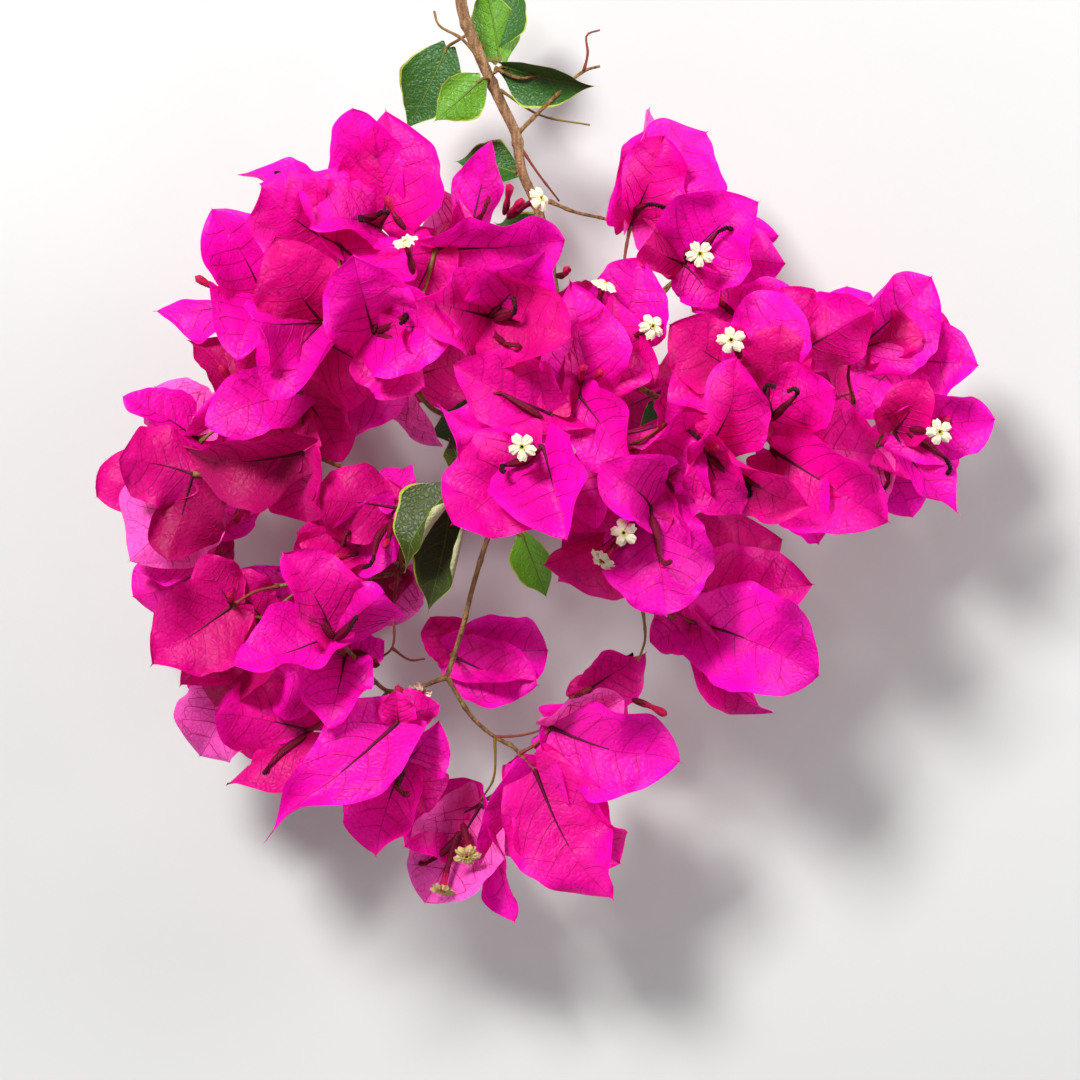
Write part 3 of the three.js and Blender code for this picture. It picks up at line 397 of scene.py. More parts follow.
class Blade:
    """The curved surface of one bract or leaf."""

    def __init__(self, heart, row, rng, look, rolls=None):
        heading, lean, self.length, turn, share = row
        self.heart = heart
        self.along, self.across, self.out = blade_axes(heading, lean, turn)
        self.half = 0.5 * share * self.length
        self.look = look
        self.scale = min(self.half / USUAL_HALF, LARGEST_FOLDS)
        domed = -1 if rng.random() < look["domed"] else 1
        self.keel = domed * look["keel"] * rng.uniform(0.3, 2.0)
        self.bow = look["bow"] * (domed * rng.uniform(-0.3, 1.5))
        self.cup = look["cup"] * (domed * rng.uniform(-0.3, 1.4))
        self.curl = look["curl"] * rng.uniform(-0.7, 1.6)
        self.sway = look["sway"] * rng.uniform(-1, 1)
        self.twist = math.radians(look["twist"]) * rng.uniform(-1, 1)
        self.rolls = np.radians(look["roll"]) * rng.uniform(-0.5, 1.0, 2)
        if rng.random() < look["furled"]:
            self.rolls[rng.integers(2)] = math.radians(rng.uniform(*FURLED))
        if rolls:
            self.rolls = np.radians(np.array(rolls[::-1], dtype=float))
        # How many waves and ripples each of the two edges has along its length
        self.waves = rng.uniform(1.1, 2.0, 2)
        self.ripples = rng.uniform(3.4, 6.2, 2) * min(1, self.length / 20)
        self.phase = rng.uniform(0, 2 * math.pi, 8)
        self.skew = rng.uniform(-0.07, 0.07)
        blunt = rng.uniform(-1, 1)
        self.shoulder = look["shoulder"] * (1 + 0.2 * blunt)
        self.point = look["point"] * (1 - 0.2 * blunt)
        self.crease = rng.uniform(-1, 1, 2) * look["crease"]
        self.crease_at = rng.uniform(0.35, 0.65, 2)
        # Three broad and three fine crinkles run across the blade, each its own way: mm from crest to crest
        grain = rng.uniform([8] * 3 + [4.2] * 3, [14] * 3 + [6.5] * 3)
        self.swirl = unit(rng.normal(size=(6, 2))) * (2 * math.pi / grain)[:, None]
        self.swirl_phase = rng.uniform(0, 2 * math.pi, 6)

    def width(self, u):
        """Half the width at a share of the length, as a share of the widest."""
        look = self.look
        rise = look["foot"] + (1 - look["foot"]) * np.sin(0.5 * math.pi * np.clip(u / look["widest"], 0, 1))
        fall = 1 - np.clip((u - look["widest"]) / (MIDRIB_END - look["widest"]), 0, 1) ** self.shoulder
        spike = 0.07 * np.clip((1 - u) / 0.13, 0, 1) ** 1.4
        return rise * np.hypot(fall ** self.point, spike)

    def at(self, u, v, lift=0.0):
        """Places on the blade, u from its foot to its tip and v from one edge to the other."""
        look, scale = self.look, self.scale
        u, v = np.broadcast_arrays(np.asarray(u, dtype=float), np.asarray(v, dtype=float))
        side, hand = np.abs(v), (v > 0).astype(int)
        body = np.sin(math.pi * np.clip(u, 0, 1))

        def swing(turns, phase):
            return np.sin(2 * math.pi * turns * u + self.phase[hand + phase])

        lobe = look["lobe"] * np.sin(math.pi * side**1.5) * (1 - u) ** 4
        x = self.length * (u - lobe - look["tail"] * (1 - u) * ease(0.7, 1.0, u))
        edge = 0.045 * swing(2.3, 0) + 0.014 * np.sin(37 * u + self.phase[hand + 2])
        spread = self.half * self.width(u) * side * (1 + edge * side) * (1 + self.skew * np.sign(v))
        start = FLAT_SHARE * self.half
        over = np.maximum(spread - start, 0)
        angle = over * self.rolls[hand] / (self.half - start)
        reach = np.minimum(spread, start) + over * np.sinc(angle / math.pi)
        z = over * np.sin(angle / 2) * np.sinc(angle / (2 * math.pi))
        z += self.keel * (np.sqrt(reach * reach + 0.3) - 0.55)
        z += self.bow * self.length * body + self.cup * self.half * v * v * body
        z += self.crease[hand] * scale * (np.sqrt((side - self.crease_at[hand]) ** 2 + 0.01) - 0.5) * side * body
        z += look["wave"] * scale * side**2.2 * body**0.5 * swing(self.waves[hand], 4)
        z += look["ripple"] * scale**2 * side**3 * body**0.5 * swing(self.ripples[hand], 6)
        swollen = np.abs(np.sin(math.pi * self.vein_number(u, v))) ** 0.7 - 0.6
        z += look["blister"] * scale**2 * swollen * 4 * side * (1 - side)
        y = np.sign(v) * reach
        flow = np.sin(self.swirl[:, 0] * x[..., None] + self.swirl[:, 1] * y[..., None] + self.swirl_phase)
        z += look["crinkle"] * scale**2 * ease(0, 0.2, u) * (flow[..., :3].sum(-1) + 0.35 * flow[..., 3:].sum(-1))
        z -= self.curl * self.length * ease(0.5, 1.1, u) ** 2
        turn = self.twist * ease(0.5, 1.0, u)
        y, z = y * np.cos(turn) - z * np.sin(turn), y * np.sin(turn) + z * np.cos(turn)
        y += self.sway * self.length * body
        return (self.heart + x[..., None] * self.along + y[..., None] * self.across
                + (z + lift)[..., None] * self.out)

    def bend(self, v):
        """How far a side vein has swept forward on its way out from the midrib."""
        return self.look["arch"] * np.abs(v) ** 1.25

    def vein_number(self, u, v):
        """Counts the side veins from the foot: a vein runs where this is a whole number."""
        start = (u - self.bend(v)) / (1 - self.bend(v))
        share = np.clip((start - VEINS_FROM) / VEINS_ALONG, 0, 1) ** 0.87
        return self.look["veins"] * share + np.where(v > 0, 0.5, 0.0)

    def veins(self, rng):
        """The runs of the side veins, their forks and the loops between them: u, v, and a radius share."""
        runs = []
        for hand in (-1, 1):
            before = None
            for number in range(self.look["veins"]):
                share = max(number + (0.5 if hand > 0 else 0.12) + rng.uniform(-0.14, 0.14), 0) / self.look["veins"]
                start = VEINS_FROM + VEINS_ALONG * share**1.15
                wave, lag = rng.uniform(5, 9), rng.uniform(0, 6)

                def place(v, start=start, wave=wave, lag=lag):
                    return start + (1 - start) * self.bend(v) + 0.016 * np.sin(wave * v + lag) * v

                v = np.linspace(0, rng.uniform(0.74, 0.86), 14)
                runs.append((place(v), hand * v, np.linspace(1.0, 0.5, v.size)))
                if rng.random() < 0.75:
                    fork = np.linspace(0, 1, 7)
                    at, lean = rng.uniform(0.38, 0.58), rng.choice([-1, 1]) * rng.uniform(0.06, 0.12)
                    runs.append((place(at) + lean * fork, hand * (at + 0.3 * fork),
                                 np.linspace(0.65, 0.45, fork.size)))
                if before is not None:
                    loop = np.linspace(0, 1, 9)
                    end_v, end_u = before
                    meet = rng.uniform(0.6, 0.72)
                    bulge = 0.06 * np.sin(math.pi * loop)
                    runs.append((end_u + (place(meet) - end_u) * loop, hand * (end_v + (meet - end_v) * loop + bulge),
                                 np.linspace(0.55, 0.45, loop.size)))
                before = (v[-1], place(v[-1]))
        return [run for run in runs if run[0].max() < 0.95]


# The make of a blade: domed and furled are odds, keel is a slope, twist and roll are degrees, shoulder and point
# are powers, wave to crease are heights of folds in mm, veins counts those of one half, and the others are
# shares of the length or of the half width
BRACT_LOOK = {"domed": 0.35, "keel": 0.32, "bow": 0.085, "cup": 0.2, "curl": 0.10, "sway": 0.05, "twist": 32,
              "roll": 44, "furled": 0.12, "foot": 0.58, "widest": 0.38, "shoulder": 2.2, "point": 0.66, "lobe": 0.12,
              "tail": 0.2, "wave": 2.9, "ripple": 0.35, "blister": 0.2, "crinkle": 0.11, "crease": 3.0, "arch": 0.42,
              "veins": 5}
# The longest bract is drawn out into a narrow curled tail
TAIL_LOOK = {**BRACT_LOOK, "widest": 0.3, "shoulder": 1.15, "point": 1.2, "curl": 0.16}
LEAF_LOOK = {"domed": 0.2, "keel": 0.22, "bow": 0.06, "cup": 0.1, "curl": 0.13, "sway": 0.05, "twist": 16,
             "roll": 25, "furled": 0.0, "foot": 0.3, "widest": 0.36, "shoulder": 1.9, "point": 1.0, "lobe": 0.05,
             "tail": 0.45, "wave": 0.8, "ripple": 0.1, "blister": 0.35, "crinkle": 0.06, "crease": 0.4, "arch": 0.42,
             "veins": 5}


def colour_property(name, description, default):
    return FloatVectorProperty(name=name, description=description, subtype="COLOR", size=3, default=default)


def length_property(name, description, default):
    return FloatProperty(name=name, description=description, unit="LENGTH", subtype="DISTANCE", precision=5,
                         default=default)


class SprayFinish(bpy.types.PropertyGroup):
    """Colours of the spray, as they come out in plain light; the bract tints are one magenta with light and shade
    painted in.
    """

    # Bract tints with painted light and shade: bright is painted full light, deep painted light shade, shade the
    # painted shade of the hidden bracts, pale painted light coming through from behind
    bract_bright: colour_property("Bright bract", "Magenta of a bract in full light", (0.94, 0.001, 0.51))
    # The warm tint is a redder magenta in painted half shade
    bract_warm: colour_property("Warm bract", "Redder magenta of an older bract", (0.92, 0.001, 0.40))
    bract_deep: colour_property("Deep bract", "Magenta of a bract in light shade", (0.74, 0.001, 0.255))
    bract_shade: colour_property("Shaded bract", "Magenta of the hidden bracts", (0.46, 0.001, 0.13))
    bract_pale: colour_property("Pale bract", "Pink of a thin bract with light behind it", (1.0, 0.13, 0.62))
    vein: colour_property("Midrib", "Maroon of the midribs", (0.075, 0.001, 0.016))
    net: colour_property("Side veins", "Darker magenta of the side veins", (0.41, 0.001, 0.12))
    leaf: colour_property("Leaf", "Green of the leaves", (0.018, 0.085, 0.008))
    bark: colour_property("Bark", "Tan brown of the cane", (0.27, 0.15, 0.07))


class SpraySizes(bpy.types.PropertyGroup):
    """Sizes of what the solids leave out."""

    midrib: length_property("Midrib", "Radius of a bract's midrib at its foot", 0.00062)
    side_vein: length_property("Side vein", "Radius of a side vein at the midrib", 0.00014)
    net_cell: length_property("Net cell", "Width of one cell of the net of fine veins", 0.0026)
    star: length_property("Star", "Radius of an open flower's star", 0.0037)
    flower_tube: length_property("Flower tube", "Length of a flower's tube", 0.016)
    bract_rows: IntProperty(name="Rows", description="Faces along one bract", default=42, min=8)
    bract_columns: IntProperty(name="Columns", description="Faces across one bract", default=30, min=6)
    seed: IntProperty(name="Seed", description="Changes every crinkle and twig at once", default=7)


# The tints paint light and shade on one magenta: full light, half shade, light shade, deep shade and light from
# behind
BRACT_TINTS = ["bract_bright", "bract_warm", "bract_deep", "bract_shade", "bract_pale"]
# How often each tint, with the light or shade painted in it, is dealt out in each part of the spray
TINT_ODDS = {"upper_left": (0.60, 0.22, 0.18, 0.0, 0.0), "centre": (0.62, 0.20, 0.18, 0.0, 0.0),
             "right": (0.56, 0.22, 0.18, 0.0, 0.04), "left": (0.10, 0.20, 0.50, 0.14, 0.06),
             "lower": (0.36, 0.26, 0.18, 0.0, 0.20), "back": (0.06, 0.12, 0.46, 0.32, 0.04)}
# Bracts whose tint, with its painted light or shade, is plain to see, by bloom and by the bract's number through the
# rows of its bloom
SEEN_TINTS = {
    "lower_left_1": {0: "warm", 1: "bright", 2: "bright"}, "lower_left_3": {3: "pale"},
    "lower_left_4": {0: "warm", 3: "pale"}, "lower_left_5": {5: "warm"},
    "bottom_1": {0: "warm", 1: "pale", 2: "bright"}, "bottom_2": {0: "warm", 2: "bright"},
    "bottom_4": {0: "bright", 1: "bright"}, "left_1": {0: "bright"},
    "left_2": {0: "pale", 3: "bright", 4: "deep", 5: "pale"}, "left_3": {0: "deep", 1: "shade", 2: "pale"},
    "left_4": {0: "shade"}, "left_5": {0: "bright"}, "left_6": {1: "warm"}, "left_7": {0: "deep"},
    "lower_right_1": {0: "bright", 1: "warm"}, "lower_right_2": {0: "warm", 1: "deep"},
    "upper_right_1": {0: "warm", 2: "bright"}, "right_3": {0: "warm"}, "right_4": {0: "bright"},
    "right_5": {0: "bright"}, "right_6": {0: "bright"}, "centre_3": {2: "bright"}, "centre_8": {0: "pale"},
}
# Blooms that turn their backs to the eye, so that their flowers are on the far side
TURNED = ("bottom_2", "bottom_3", "bottom_4", "lower_right", "lower_left_5", "left_3", "left_4", "right_3",
          "lower_left_4", "back")
# A bract that leans far down gets the tints of the back: mostly painted shade, as for the hidden bracts
FAR_LEAN = -25      # degrees: a bract that leans further down than this is tinted as one at the back
LONGEST = 42        # mm: a bract longer than this has the drawn-out tail


def all_blades():
    """Every bract: its region, bloom, place in the bloom, tint with its painted light or shade, and surface."""
    blades, met = [], {}
    for order, (name, x, y, z, *bracts) in enumerate(BLOOMS):
        rng = dice("bract", order)
        heart = placed(x, y, z)
        region = next(key for key, starts in REGIONS.items() if name.startswith(starts))
        for place, row in enumerate(bracts):
            # The tint is the bract's painted light or shade, dealt by the odds of its part of the spray, or of the
            # back when it leans far down
            tint = BRACT_TINTS[rng.choice(len(BRACT_TINTS), p=TINT_ODDS["back" if row[1] < FAR_LEAN else region])]
            number = met[name] = met.get(name, -1) + 1
            seen = SEEN_TINTS.get(name, {}).get(number)
            tint = "bract_" + seen if seen else tint
            look = TAIL_LOOK if row[2] > LONGEST else BRACT_LOOK
            blades.append((region, name, order, place, tint, Blade(heart, row, rng, look)))
    return blades


def node_tree(name):
    """A new material with its output and an otherwise empty tree."""
    material = bpy.data.materials.new(name)
    material.use_nodes = True
    material.node_tree.nodes.clear()
    return material, material.node_tree, material.node_tree.nodes.new("ShaderNodeOutputMaterial")


def add(tree, kind, sockets=None, **settings):
    """A new node: first its settings, then its sockets, each with a value or a link from another node."""
    node = tree.nodes.new(kind)
    for name, value in settings.items():
        setattr(node, name, value)
    for label, value in (sockets or {}).items():
        if isinstance(value, bpy.types.NodeSocket):
            tree.links.new(value, node.inputs[label])
        else:
            node.inputs[label].default_value = value
    return node


def new_group(name, inputs, outputs):
    """An empty node group with float inputs and typed outputs, and both sets of sockets."""
    group = bpy.data.node_groups.new(name, "ShaderNodeTree")
    for label, value in inputs.items():
        socket = group.interface.new_socket(label, in_out="INPUT", socket_type="NodeSocketFloat")
        socket.default_value = value
    for label, kind in outputs.items():
        group.interface.new_socket(label, in_out="OUTPUT", socket_type=kind)
    return group, group.nodes.new("NodeGroupInput").outputs, group.nodes.new("NodeGroupOutput").inputs


def tinted(tint, shares):
    """A colour with each of its parts scaled."""
    return tuple(part * share for part, share in zip(tint, shares))


def relief_group():
    """Fine skin: a soft grain and small raised cells, as a normal and a roughness."""
    group, given, result = new_group(
        "skin relief", {"Grain": 900.0, "Cells": 700.0, "Depth": 0.5, "Rough Low": 0.45, "Rough High": 0.65},
        {"Normal": "NodeSocketVector", "Roughness": "NodeSocketFloat"})
    where = add(group, "ShaderNodeTexCoord").outputs["Object"]
    grain = add(group, "ShaderNodeTexNoise", {"Vector": where, "Scale": given["Grain"], "Detail": 3.0}).outputs["Fac"]
    cells = add(group, "ShaderNodeTexVoronoi", {"Vector": where, "Scale": given["Cells"]}, feature="DISTANCE_TO_EDGE")
    net = add(group, "ShaderNodeMapRange", {"Value": cells.outputs["Distance"], "From Max": 0.28})
    height = add(group, "ShaderNodeMath", {0: grain, 1: net.outputs["Result"]}, operation="ADD").outputs["Value"]
    bump = add(group, "ShaderNodeBump", {"Strength": given["Depth"], "Distance": 0.00022, "Height": height})
    rough = add(group, "ShaderNodeMapRange",
                {"Value": grain, "To Min": given["Rough Low"], "To Max": given["Rough High"]})
    group.links.new(bump.outputs["Normal"], result["Normal"])
    group.links.new(rough.outputs["Result"], result["Roughness"])
    return group


def bract_masks_group():
    """Masks of a bract: its thin edge and tip with soft patches, where it is paler, partly its own colour and partly
    painted light coming through, and its net of fine veins in two sizes.
    """
    group, given, result = new_group(
        "bract masks", {"Edge": 0.7, "Patches": 0.9, "Patch Scale": 70.0, "Net Scale": 380.0, "Fine Scale": 900.0,
                        "Bend": 0.0012},
        {"Thin": "NodeSocketFloat", "Net": "NodeSocketFloat"})

    def number(operation, first, second):
        return add(group, "ShaderNodeMath", {0: first, 1: second}, operation=operation).outputs["Value"]

    def vector(operation, sockets):
        return add(group, "ShaderNodeVectorMath", sockets, operation=operation).outputs["Vector"]

    where = add(group, "ShaderNodeTexCoord").outputs["Object"]
    thin = add(group, "ShaderNodeAttribute", attribute_name="thinness").outputs["Fac"]
    patches = add(group, "ShaderNodeTexNoise", {"Vector": where, "Scale": given["Patch Scale"], "Detail": 2.0})
    patch = number("MULTIPLY", number("SUBTRACT", patches.outputs["Fac"], 0.42), given["Patches"])
    clamp = add(group, "ShaderNodeClamp", {"Value": number("ADD", number("MULTIPLY", thin, given["Edge"]), patch)})
    group.links.new(clamp.outputs["Result"], result["Thin"])

    stir = add(group, "ShaderNodeTexNoise", {"Vector": where, "Scale": 260.0})
    off = vector("SUBTRACT", {0: stir.outputs["Color"], 1: (0.5, 0.5, 0.5)})
    bent = vector("ADD", {0: where, 1: vector("SCALE", {0: off, "Scale": given["Bend"]})})
    lines = []
    for label, width, strength in (("Net Scale", 0.055, 1.0), ("Fine Scale", 0.09, 0.45)):
        cells = add(group, "ShaderNodeTexVoronoi", {"Vector": bent, "Scale": given[label]},
                    feature="DISTANCE_TO_EDGE")
        line = add(group, "ShaderNodeMapRange", {"Value": cells.outputs["Distance"], "From Max": width,
                                                 "To Min": strength, "To Max": 0.0}, interpolation_type="SMOOTHSTEP")
        lines.append(line.outputs["Result"])
    group.links.new(number("MAXIMUM", *lines), result["Net"])
    return group


def skin_shader(tree, relief, colour, grain=900.0, cells=700.0, depth=0.5, rough=(0.45, 0.65), specular=0.16):
    """A Principled shader with the relief of a skin: the shader's output and the skin's normal."""
    skin = add(tree, "ShaderNodeGroup", {"Grain": grain, "Cells": cells, "Depth": depth, "Rough Low": rough[0],
                                         "Rough High": rough[1]}, node_tree=relief)
    normal = skin.outputs["Normal"]
    shader = add(tree, "ShaderNodeBsdfPrincipled", {"Base Color": colour, "Specular IOR Level": specular,
                                                    "Normal": normal, "Roughness": skin.outputs["Roughness"]})
    return shader.outputs["BSDF"], normal


# A bract is deeper by its midrib and paler toward its thin edge and tip; the paler edge is partly its own colour and
# partly painted light coming through
CORE_SHARES = (0.84, 0.5, 0.72)     # of a bract's red, green and blue that are left by its midrib
NET_SHARES = (0.80, 0.5, 0.66, 1)   # and that are left in its net of fine veins
THROUGH = 0.4                       # share of a bract's light that comes through it


def bract_material(name, thin, relief, masks, cell):
    """Papery bract: deeper by its midrib, paler at its edge, partly with painted light coming through, netted with
    veins, with light through it.
    """
    _, tree, output = node_tree(name)
    mask = add(tree, "ShaderNodeGroup", {"Net Scale": 1 / cell, "Fine Scale": 2.4 / cell}, node_tree=masks)
    blend = add(tree, "ShaderNodeMix", {0: mask.outputs["Thin"], 6: (*tinted(thin, CORE_SHARES), 1), 7: (*thin, 1)},
                data_type="RGBA")
    net = add(tree, "ShaderNodeMix", {0: mask.outputs["Net"], 6: blend.outputs[2], 7: NET_SHARES},
              data_type="RGBA", blend_type="MULTIPLY")
    face, normal = skin_shader(tree, relief, net.outputs[2], grain=420.0, cells=640.0, depth=0.4, rough=(0.4, 0.6),
                               specular=0.18)
    glow = add(tree, "ShaderNodeBsdfTranslucent", {"Color": net.outputs[2], "Normal": normal})
    mix = add(tree, "ShaderNodeMixShader", {0: THROUGH, 1: face, 2: glow.outputs["BSDF"]})
    tree.links.new(mix.outputs["Shader"], output.inputs["Surface"])


def skin_material(name, tint, relief, look):
    """A plant skin in one plain colour with fine relief."""
    _, tree, output = node_tree(name)
    face, _ = skin_shader(tree, relief, (*tint, 1), **look)
    tree.links.new(face, output.inputs["Surface"])


def bark_material(name, light, dark, relief, streak):
    """Stringy bark: long streaks of two colours."""
    _, tree, output = node_tree(name)
    where = add(tree, "ShaderNodeTexCoord").outputs["Object"]
    stretch = add(tree, "ShaderNodeMapping", {"Vector": where, "Scale": streak})
    noise = add(tree, "ShaderNodeTexNoise", {"Vector": stretch.outputs["Vector"], "Scale": 900.0, "Detail": 4.0})
    ramp = add(tree, "ShaderNodeValToRGB", {"Fac": noise.outputs["Fac"]})
    for stop, place, colour in zip(ramp.color_ramp.elements, (0.36, 0.62), (dark, light)):
        stop.position = place
        stop.color = (*colour, 1)
    face, _ = skin_shader(tree, relief, ramp.outputs["Color"], grain=1500.0, depth=0.7, cells=900.0,
                          rough=(0.6, 0.85), specular=0.25)
    tree.links.new(face, output.inputs["Surface"])


class SPRAY_OT_finishes(bpy.types.Operator):
    """Make the material of every bract, vein, flower, leaf and limb"""

    bl_idname = "spray.finishes"
    bl_label = "Make Finishes"

    def execute(self, context):
        colours = context.scene.spray_finish
        relief, masks = relief_group(), bract_masks_group()
        for name in BRACT_TINTS:
            bract_material(name, tuple(getattr(colours, name)), relief, masks, context.scene.spray_sizes.net_cell)
        green = colours.leaf
        vein, stalk = {"depth": 0.2}, {"depth": 0.4}
        star, tube, wilted = ({"cells": 1800.0, "depth": 0.3}, {"cells": 1500.0}, {"cells": 1500.0, "depth": 0.9})
        leaf = {"rough": (0.38, 0.56), "cells": 900.0, "specular": 0.3}
        skins = {
            "midrib": (colours.vein, vein), "side_vein": (colours.net, vein),
            "star_cream": ((0.60, 0.53, 0.38), star), "star_throat": ((0.42, 0.37, 0.05), star),
            # The near black eye of a star is painted shade down the throat of its tube
            "star_pit_shade": ((0.09, 0.07, 0.01), star), "star_old": ((0.46, 0.33, 0.13), {**star, "depth": 0.6}),
            "tube_maroon": ((0.115, 0.001, 0.016), tube), "tube_crimson": ((0.38, 0.002, 0.055), tube),
            "wilted_dark": ((0.028, 0.002, 0.004), wilted), "wilted_red": ((0.14, 0.004, 0.014), wilted),
            "leaf_dark": (green, leaf), "leaf_bright": (tinted(green, (4.5, 2.6, 0.8)), leaf),
            "leaf_olive": (tinted(green, (1.65, 0.58, 0.5)), leaf),
            "leaf_under": ((0.40, 0.43, 0.23), {"cells": 900.0, "rough": (0.5, 0.7)}),
            "leaf_edge": ((0.30, 0.36, 0.04), {"cells": 900.0, "depth": 0.4}),
            "leaf_vein": ((0.09, 0.15, 0.02), vein),
            "stalk_olive": ((0.17, 0.11, 0.022), stalk), "stalk_red": ((0.17, 0.035, 0.020), stalk),
        }
        for name, (tint, look) in skins.items():
            skin_material(name, tint, relief, look)
        bark_material("bark_cane", tuple(colours.bark), (0.12, 0.055, 0.024), relief, (1.0, 0.16, 1.0))
        bark_material("bark_stem", (0.23, 0.125, 0.04), (0.10, 0.04, 0.016), relief, (1.0, 0.3, 1.0))
        return {"FINISHED"}


class SPRAY_OT_bracts(bpy.types.Operator):
    """Make the papery bracts, one joined piece for each part of the spray"""

    bl_idname = "spray.bracts"
    bl_label = "Make Bracts"

    def execute(self, context):
        sizes = context.scene.spray_sizes
        # Rows and columns lie closer together toward the tip and the edges
        u = np.linspace(0, 1, sizes.bract_rows + 1)[:, None] ** 0.95
        v = np.sin(np.linspace(-0.5, 0.5, sizes.bract_columns + 1)[None, :] * math.pi * 0.8)
        v = v / v.max()
        # Thinness toward the edges and tip, where the bract pales: partly its own colour, partly painted light coming
        # through
        thinness = np.clip(0.75 * np.abs(v) ** 2.2 + 0.75 * u**2.2, 0, 1)
        gathers = {region: Gather("bracts_" + region, BRACT_TINTS) for region in REGIONS}
        for region, _, _, _, tint, blade in all_blades():
            gathers[region].sheet(blade.at(u, v), tint, mask=thinness)
        for region, starts in REGIONS.items():
            nodes = [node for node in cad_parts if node.startswith(tuple("bloom_" + start for start in starts))]
            gathers[region].finish_piece("bract", nodes)
        return {"FINISHED"}


class SPRAY_OT_veins(bpy.types.Operator):
    """Make the raised midribs and the side veins of the bracts"""

    bl_idname = "spray.veins"
    bl_label = "Make Bract Veins"

    def execute(self, context):
        sizes = context.scene.spray_sizes
        midrib, side_vein = sizes.midrib / MM, sizes.side_vein / MM
        ribs = Gather("bract_midribs", ["midrib", "side_vein"])
        halves = {half: Gather("bract_veins_" + half, ["side_vein"]) for half in ("left", "right")}
        for _, _, order, place, _, blade in all_blades():
            rng = dice("vein", order, place)
            half = "left" if blade.heart[0] < HALVES_MEET else "right"
            u = np.linspace(0, MIDRIB_END, 28)
            radii = midrib * (blade.length / 30) ** 0.5 * (0.13 + 0.87 * (1 - u) ** 3)
            fade = np.repeat((u[1:] > rng.uniform(0.35, 0.6)).astype(int)[:, None], MIDRIB_SIDES, axis=1)
            ribs.tube(blade.at(u, np.zeros_like(u)), radii, fade, MIDRIB_SIDES)
            for u, v, share in blade.veins(rng):
                radii = side_vein * share * (1.2 - 0.5 * u)
                halves[half].tube(blade.at(u, v, VEIN_LIFT), radii, "side_vein", sides=3)
        for gather in (ribs, *halves.values()):
            gather.finish_piece("bract")
        return {"FINISHED"}


def star_flower(gather, centre, facing, radius, rng, petal):
    """An open star of five broad, notched and ruffled lobes round a small throat, with painted shade in the pit at
    its centre.
    """
    facing = unit(facing)
    side = unit(np.cross(facing, [0.3, 0.9, 0.1]))
    over = np.cross(facing, side)
    angle = circle(80)
    lobe = np.abs(np.cos(2.5 * angle))
    notch = np.exp(-(((1 - lobe) / 0.03) ** 2))
    crease = 1 - ease(0.0, 0.3, lobe)
    rim = radius * (0.52 + 0.48 * lobe**0.7 - 0.07 * notch) * (1 + 0.05 * np.sin(angle * 2 + rng.uniform(0, 6))
                                                               + 0.035 * np.sin(angle * 17 + rng.uniform(0, 6)))
    steps = np.array([0.015, 0.07, 0.12, 0.17, 0.23, 0.32, 0.46, 0.6, 0.74, 0.88, 1.0])[:, None]
    droop = rng.uniform(0.05, 0.3)
    height = radius * (np.interp(steps, [0, 0.07, 0.12, 0.17, 0.23, 0.32, 0.6, 1.0],
                                 [-0.3, -0.22, -0.02, 0.06, 0.05, 0.0, 0.08, 0.02])
                       - 0.16 * steps * crease + 0.10 * steps**2 * notch
                       + 0.05 * steps**2 * np.sin(15 * angle + rng.uniform(0, 6)) - droop * steps**3)
    turn = angle + rng.uniform(0, 6)
    points = (centre + (steps * rim * np.cos(turn))[..., None] * side + (steps * rim * np.sin(turn))[..., None] * over
              + height[..., None] * facing)
    mark = np.full((len(steps) - 1, len(angle)), gather.finishes.index(petal))
    # The near black centre is painted shade down the open throat of the tube
    mark[:2] = gather.finishes.index("star_pit_shade")
    mark[2:4] = gather.finishes.index("star_throat")
    gather.sheet(points, mark, closed=True, flipped=True)


# The outline of each kind of tube: shares of its length, and its radius in mm at each
TUBE_OUTLINES = {"star": ([0, 0.1, 0.28, 0.5, 0.85, 1], [0.4, 0.85, 0.95, 0.62, 0.85, 1.05]),
                 "bud": ([0, 0.1, 0.3, 0.55, 0.8, 0.92, 1], [0.4, 0.8, 0.9, 0.6, 1.05, 1.0, 0.1]),
                 "wilted": ([0, 0.12, 0.4, 0.75, 1], [0.35, 0.75, 1.0, 0.7, 0.4])}


def curled_end(path, rng, length, radius):
    """The run of a shrivelled end that curls up on itself from the last place of a tube."""
    along = unit(path[-1] - path[-3])
    side = unit(np.cross(along, rng.normal(size=3)))
    share = np.linspace(0, 1, CURL_STEPS)[:, None]
    bend = length / radius * share
    slip = np.cross(along, side) * rng.uniform(-0.12, 0.12)
    wobble = np.cumsum(rng.normal(scale=0.07, size=(CURL_STEPS, 3)), axis=0)
    return path[-1] + radius * (np.sin(bend) * along + (1 - np.cos(bend)) * side) + length * share * slip + wobble


